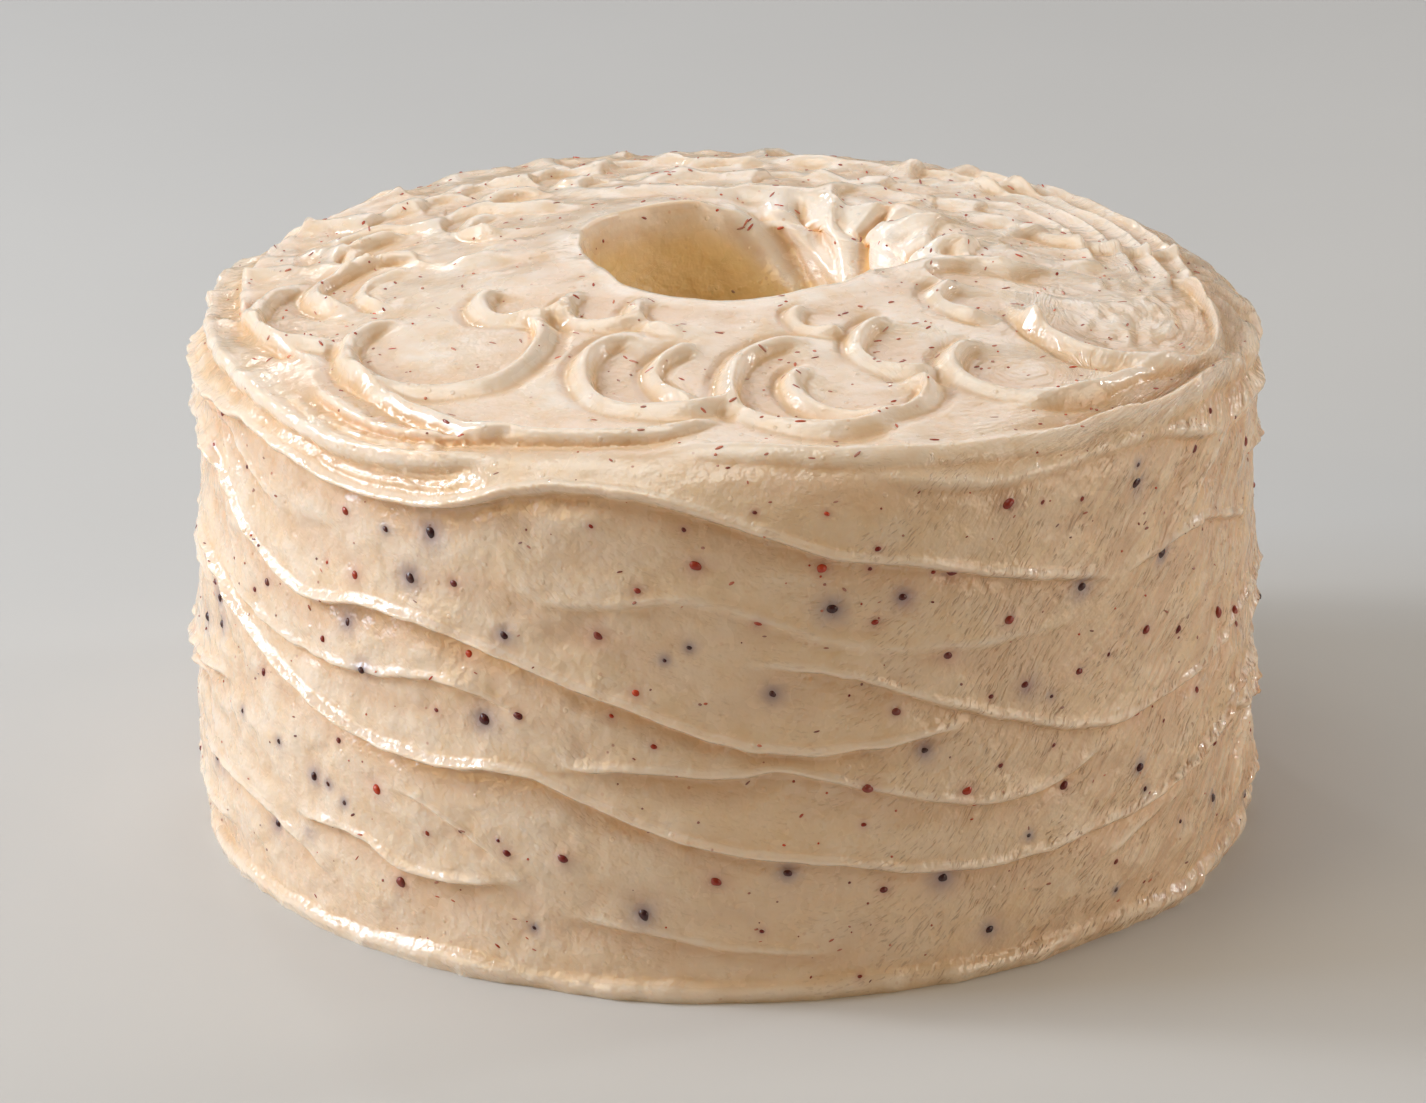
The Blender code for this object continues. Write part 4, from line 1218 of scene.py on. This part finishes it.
side_or_hole = 1 - between(place_z, 108 * MM, 121 * MM)
far_right = between(place_x, 0.04, 0.095) * side_or_hole
streaks = combed(15, 2.8, 2)
dashes = between(combed(1.7, 0.5, 1), 0.58, 0.68) * between(mottled(9, 2), 0.42, 0.58)
dashes = dashes * (0.15 + 0.85 * between(place_x, 0.0, 0.07)) * side_or_hole
colour = CREAM
for share, tint in [
    (between(mottled(14, 3), 0.35, 0.75), PALE_CREAM),
    (between(mottled(6, 4), 0.35, 0.8) * 0.7, TAN_TONE_AND_SHADE_CREAM),
    # the side's own tan tone, plus painted shade that grows towards the right, away from the key lamps
    (side_or_hole * (0.3 + 0.33 * between(place_x, -0.09, 0.03)), TAN_TONE_AND_SHADE_CREAM),
    # painted shade in the recess below each ridge and on low swirl floors
    (between(wide_hollow, -0.3, 1.0) * 0.7, SHADED_CREAM),
    # painted shade on steep walls
    (between(steep, 0.05, 0.4) * 0.3, PAINTED_SHADE_GOLD),
    # painted light on the funnel's open slope, which faces the key lamp
    (between(0 - hole_shade_light, 0, 1) * 0.75, PAINTED_LIGHT_CREAM),
    # painted shade in grooves and creases
    (between(hollow, 0.06, 0.7) * (0.65 - 0.25 * side_or_hole), PAINTED_SHADE_GOLD),
    # painted highlight along crests and fins
    (between(0 - hollow, 0.05, 0.7) * 0.5, CREST_HIGHLIGHT_CREAM),
    # painted shade down the hole and in the folds' grooves, held back on crests
    (between(hole_shade_light, 0, 1) * (1 - 0.5 * between(0 - hollow, 0.1, 0.9)), HOLE_SHADE_GOLD),
    (specks(3.4, 0.42, 0.55, 0.3) * 0.6, SPECK_TAN),
    (specks(5.5, 0.36, 0.4, 0.7) * 0.8, SPECK_RED),
    (frosting.attribute("pink_stain") * 0.55, PINK),
    (frosting.attribute("blue_stain") * 0.76, BLUE_GREY),
    # painted shade in the streak grooves, darkening the far right flank
    (between(streaks, 0.46, 0.62) * far_right * 0.95, SHADED_CREAM),
    (dashes * 0.7, DASH_TAN),
]:
    colour = frosting.mix(share, colour, tint)
print("frosting's colour uses", len(frosting.tree.nodes), "nodes")

# %% [markdown]
# The bump holds what is finer than the mesh: pebbly mottling and dents, hair-like lines that
# follow the spatula, crumples and streaks at the right where the frosting had begun to set, and
# sparse pimples and pits of air. Every height here is in millimetres.

# %% Frosting: bump and gloss
set_side = between(place_x, 0.0, 0.09)
wet = between(mottled(13, 2), 0.46, 0.62)
pebbles = mottled(2.6, 2) * (0.15 + 0.3 * side_or_hole)
dents = mottled(1.2, 1) * (0.03 + (0.05 + 0.08 * side_or_hole) * wet)
hairs = combed(9, 0.9, 2) * (0.02 + 0.05 * set_side)
crumples = combed(6, 2.4, 2, 0.5) * (0.02 + 0.4 * set_side)
pimples = specks(2.4, 0.5, 0.3, 1.3) * 0.14
pits = specks(3.6, 0.35, 0.15, 2.1) * 0.10
height = pebbles + dents + hairs + crumples + pimples - pits - 0.22 * dashes - 1.0 * far_right * streaks
bump = frosting.node("ShaderNodeBump", {"Height": height, "Distance": MM, "Strength": 1.0})
gloss = 0.28 + 0.22 * (mottled(7, 3) - 0.5) - 0.12 * wet - 0.06 * between(0 - hollow, 0.1, 0.5)

skin.materials.append(frosting.shade({
    "Base Color": colour, "Roughness": gloss, "Normal": bump,
    "Subsurface Weight": 0.7, "Subsurface Radius": (1.0, 0.5, 0.25), "Subsurface Scale": 0.0022,
    "Specular IOR Level": 0.85, "IOR": 1.45,
}))
frosting.shader.subsurface_method = "BURLEY"

# %% [markdown]
# ## The beads' finish
# Beads are glossy and slightly clear. The shade attribute runs from nearly black through maroon
# to bright red, and the veil attribute mixes in the colour of frosting seen over the bead.

# %% Beads and flecks
BEAD_STOPS = [(0.0, (0.030, 0.010, 0.014, 1)), (0.14, (0.06, 0.011, 0.012, 1)),
              (0.45, (0.17, 0.010, 0.008, 1)), (0.75, (0.33, 0.035, 0.016, 1)),
              (1.0, (0.62, 0.06, 0.016, 1))]
VEIL_STOPS = [(0.0, (0.36, 0.27, 0.24, 1)), (0.2, (0.44, 0.29, 0.24, 1)),
              (0.5, (0.62, 0.36, 0.28, 1)), (1.0, (0.76, 0.36, 0.22, 1))]
fruit = Finish("fruit_beads")
shade = fruit.attribute("shade")
mottle = fruit.noise(fruit.place(), per_mm(0.8), 2)
core = fruit.node("ShaderNodeValToRGB", {0: shade + 0.12 * (mottle - 0.5)}, "Color", stops=BEAD_STOPS)
film = fruit.node("ShaderNodeValToRGB", {0: shade}, "Color", stops=VEIL_STOPS)
fruit.shade({
    "Base Color": fruit.mix(fruit.attribute("veil") * 0.9, core, film), "Roughness": 0.08 + 0.14 * mottle,
    "Subsurface Weight": 0.3, "Subsurface Radius": (1.0, 0.2, 0.1), "Subsurface Scale": 0.0006,
    "Specular IOR Level": 0.4,
})
fruit.shader.subsurface_method = "BURLEY"
for piece in fruit_pieces:
    piece.data.materials.append(fruit.material)
print(len(fruit_pieces), "pieces share", fruit.material.name)

# %% [markdown]
# ## Floor, light and camera
# The cake stands on a plain pale floor. Big soft lamps give the shape: a cool and a warm key from
# the left that rake across the ridges, one from above, and weak warm light from the right that
# keeps the shaded side readable. Three small lamps add the crisp glints of moist frosting.

# %% Floor
FLOOR_HALF = 6.0
floor_mesh = bpy.data.meshes.new("floor")
corners = [(-FLOOR_HALF, -FLOOR_HALF, 0), (FLOOR_HALF, -FLOOR_HALF, 0), (FLOOR_HALF, FLOOR_HALF, 0),
           (-FLOOR_HALF, FLOOR_HALF, 0)]
floor_mesh.from_pydata(corners, [], [(0, 1, 2, 3)])
floor = add_object("floor", floor_mesh)
floor_finish = Finish("floor")
cloudy = floor_finish.noise(floor_finish.place(), 6.0, 3)
floor_mesh.materials.append(floor_finish.shade({
    "Base Color": floor_finish.mix(cloudy, (0.56, 0.55, 0.53, 1), (0.60, 0.59, 0.57, 1)),
    "Roughness": 0.7}))

# %% Lights
LIT_POINT = Vector((0, 0, 0.08))


def area_light(name, location, size, watts, colour):
    light = bpy.data.lights.new(name, "AREA")
    light.size, light.energy, light.color = size, watts, colour
    lamp = add_object(name, light)
    lamp.location = location
    lamp.rotation_euler = (LIT_POINT - Vector(location)).to_track_quat("-Z", "Y").to_euler()


area_light("key", (-1.45, 0.0, 0.85), 0.8, 16, (0.86, 1.0, 1.2))
area_light("warm_key", (-1.2, -0.8, 0.75), 0.8, 4.5, (1.35, 0.95, 0.5))
area_light("key_core", (-1.3, 0.1, 0.95), 0.18, 5, (1.0, 1.0, 1.0))
area_light("top", (-0.3, 0.0, 1.7), 1.0, 8.4, (1.03, 1.02, 0.95))
area_light("back_core", (-0.55, 1.3, 0.9), 0.14, 1.4, (1.0, 1.0, 1.0))
area_light("back", (0.1, 1.5, 1.0), 0.8, 2.4, (1.0, 0.97, 1.03))
area_light("fill", (1.45, -0.45, 0.55), 1.0, 7.5, (1.15, 0.97, 0.77))
area_light("rear_fill", (1.2, 0.9, 0.8), 1.0, 3.2, (0.95, 1.0, 1.05))
area_light("right_core", (1.3, 0.45, 0.7), 0.16, 2.2, (1.0, 1.0, 1.0))
world = bpy.data.worlds.new("studio")
world.use_nodes = True
world.node_tree.nodes["Background"].inputs["Color"].default_value = (1.0, 0.85, 0.70, 1)
world.node_tree.nodes["Background"].inputs["Strength"].default_value = 0.03
bpy.context.scene.world = world

# %% Camera
IMAGE_WIDTH = 1426
FOCAL_PIXELS = 6264
SENSOR = 36.0
CAMERA_DISTANCE = 12 * CAKE_RADIUS * MM
CAMERA_ELEVATION = math.radians(20.6)
AIM_HEIGHT = 0.486 * CAKE_RADIUS * MM
CAKE_RIGHT_OF_MIDDLE = 13.7
camera_data = bpy.data.cameras.new("camera")
camera_data.sensor_width, camera_data.lens = SENSOR, FOCAL_PIXELS * SENSOR / IMAGE_WIDTH
camera = add_object("camera", camera_data)
back = Vector((0, -math.cos(CAMERA_ELEVATION), math.sin(CAMERA_ELEVATION)))
aim = Vector((-CAKE_RIGHT_OF_MIDDLE / FOCAL_PIXELS * CAMERA_DISTANCE, 0, AIM_HEIGHT))
camera.location = aim + back * CAMERA_DISTANCE
camera.rotation_euler = (-back).to_track_quat("-Z", "Y").to_euler()
bpy.context.scene.camera = camera
bpy.context.scene.view_settings.view_transform = "Standard"
print("camera at", [round(value, 3) for value in camera.location], "lens", round(camera_data.lens, 1))
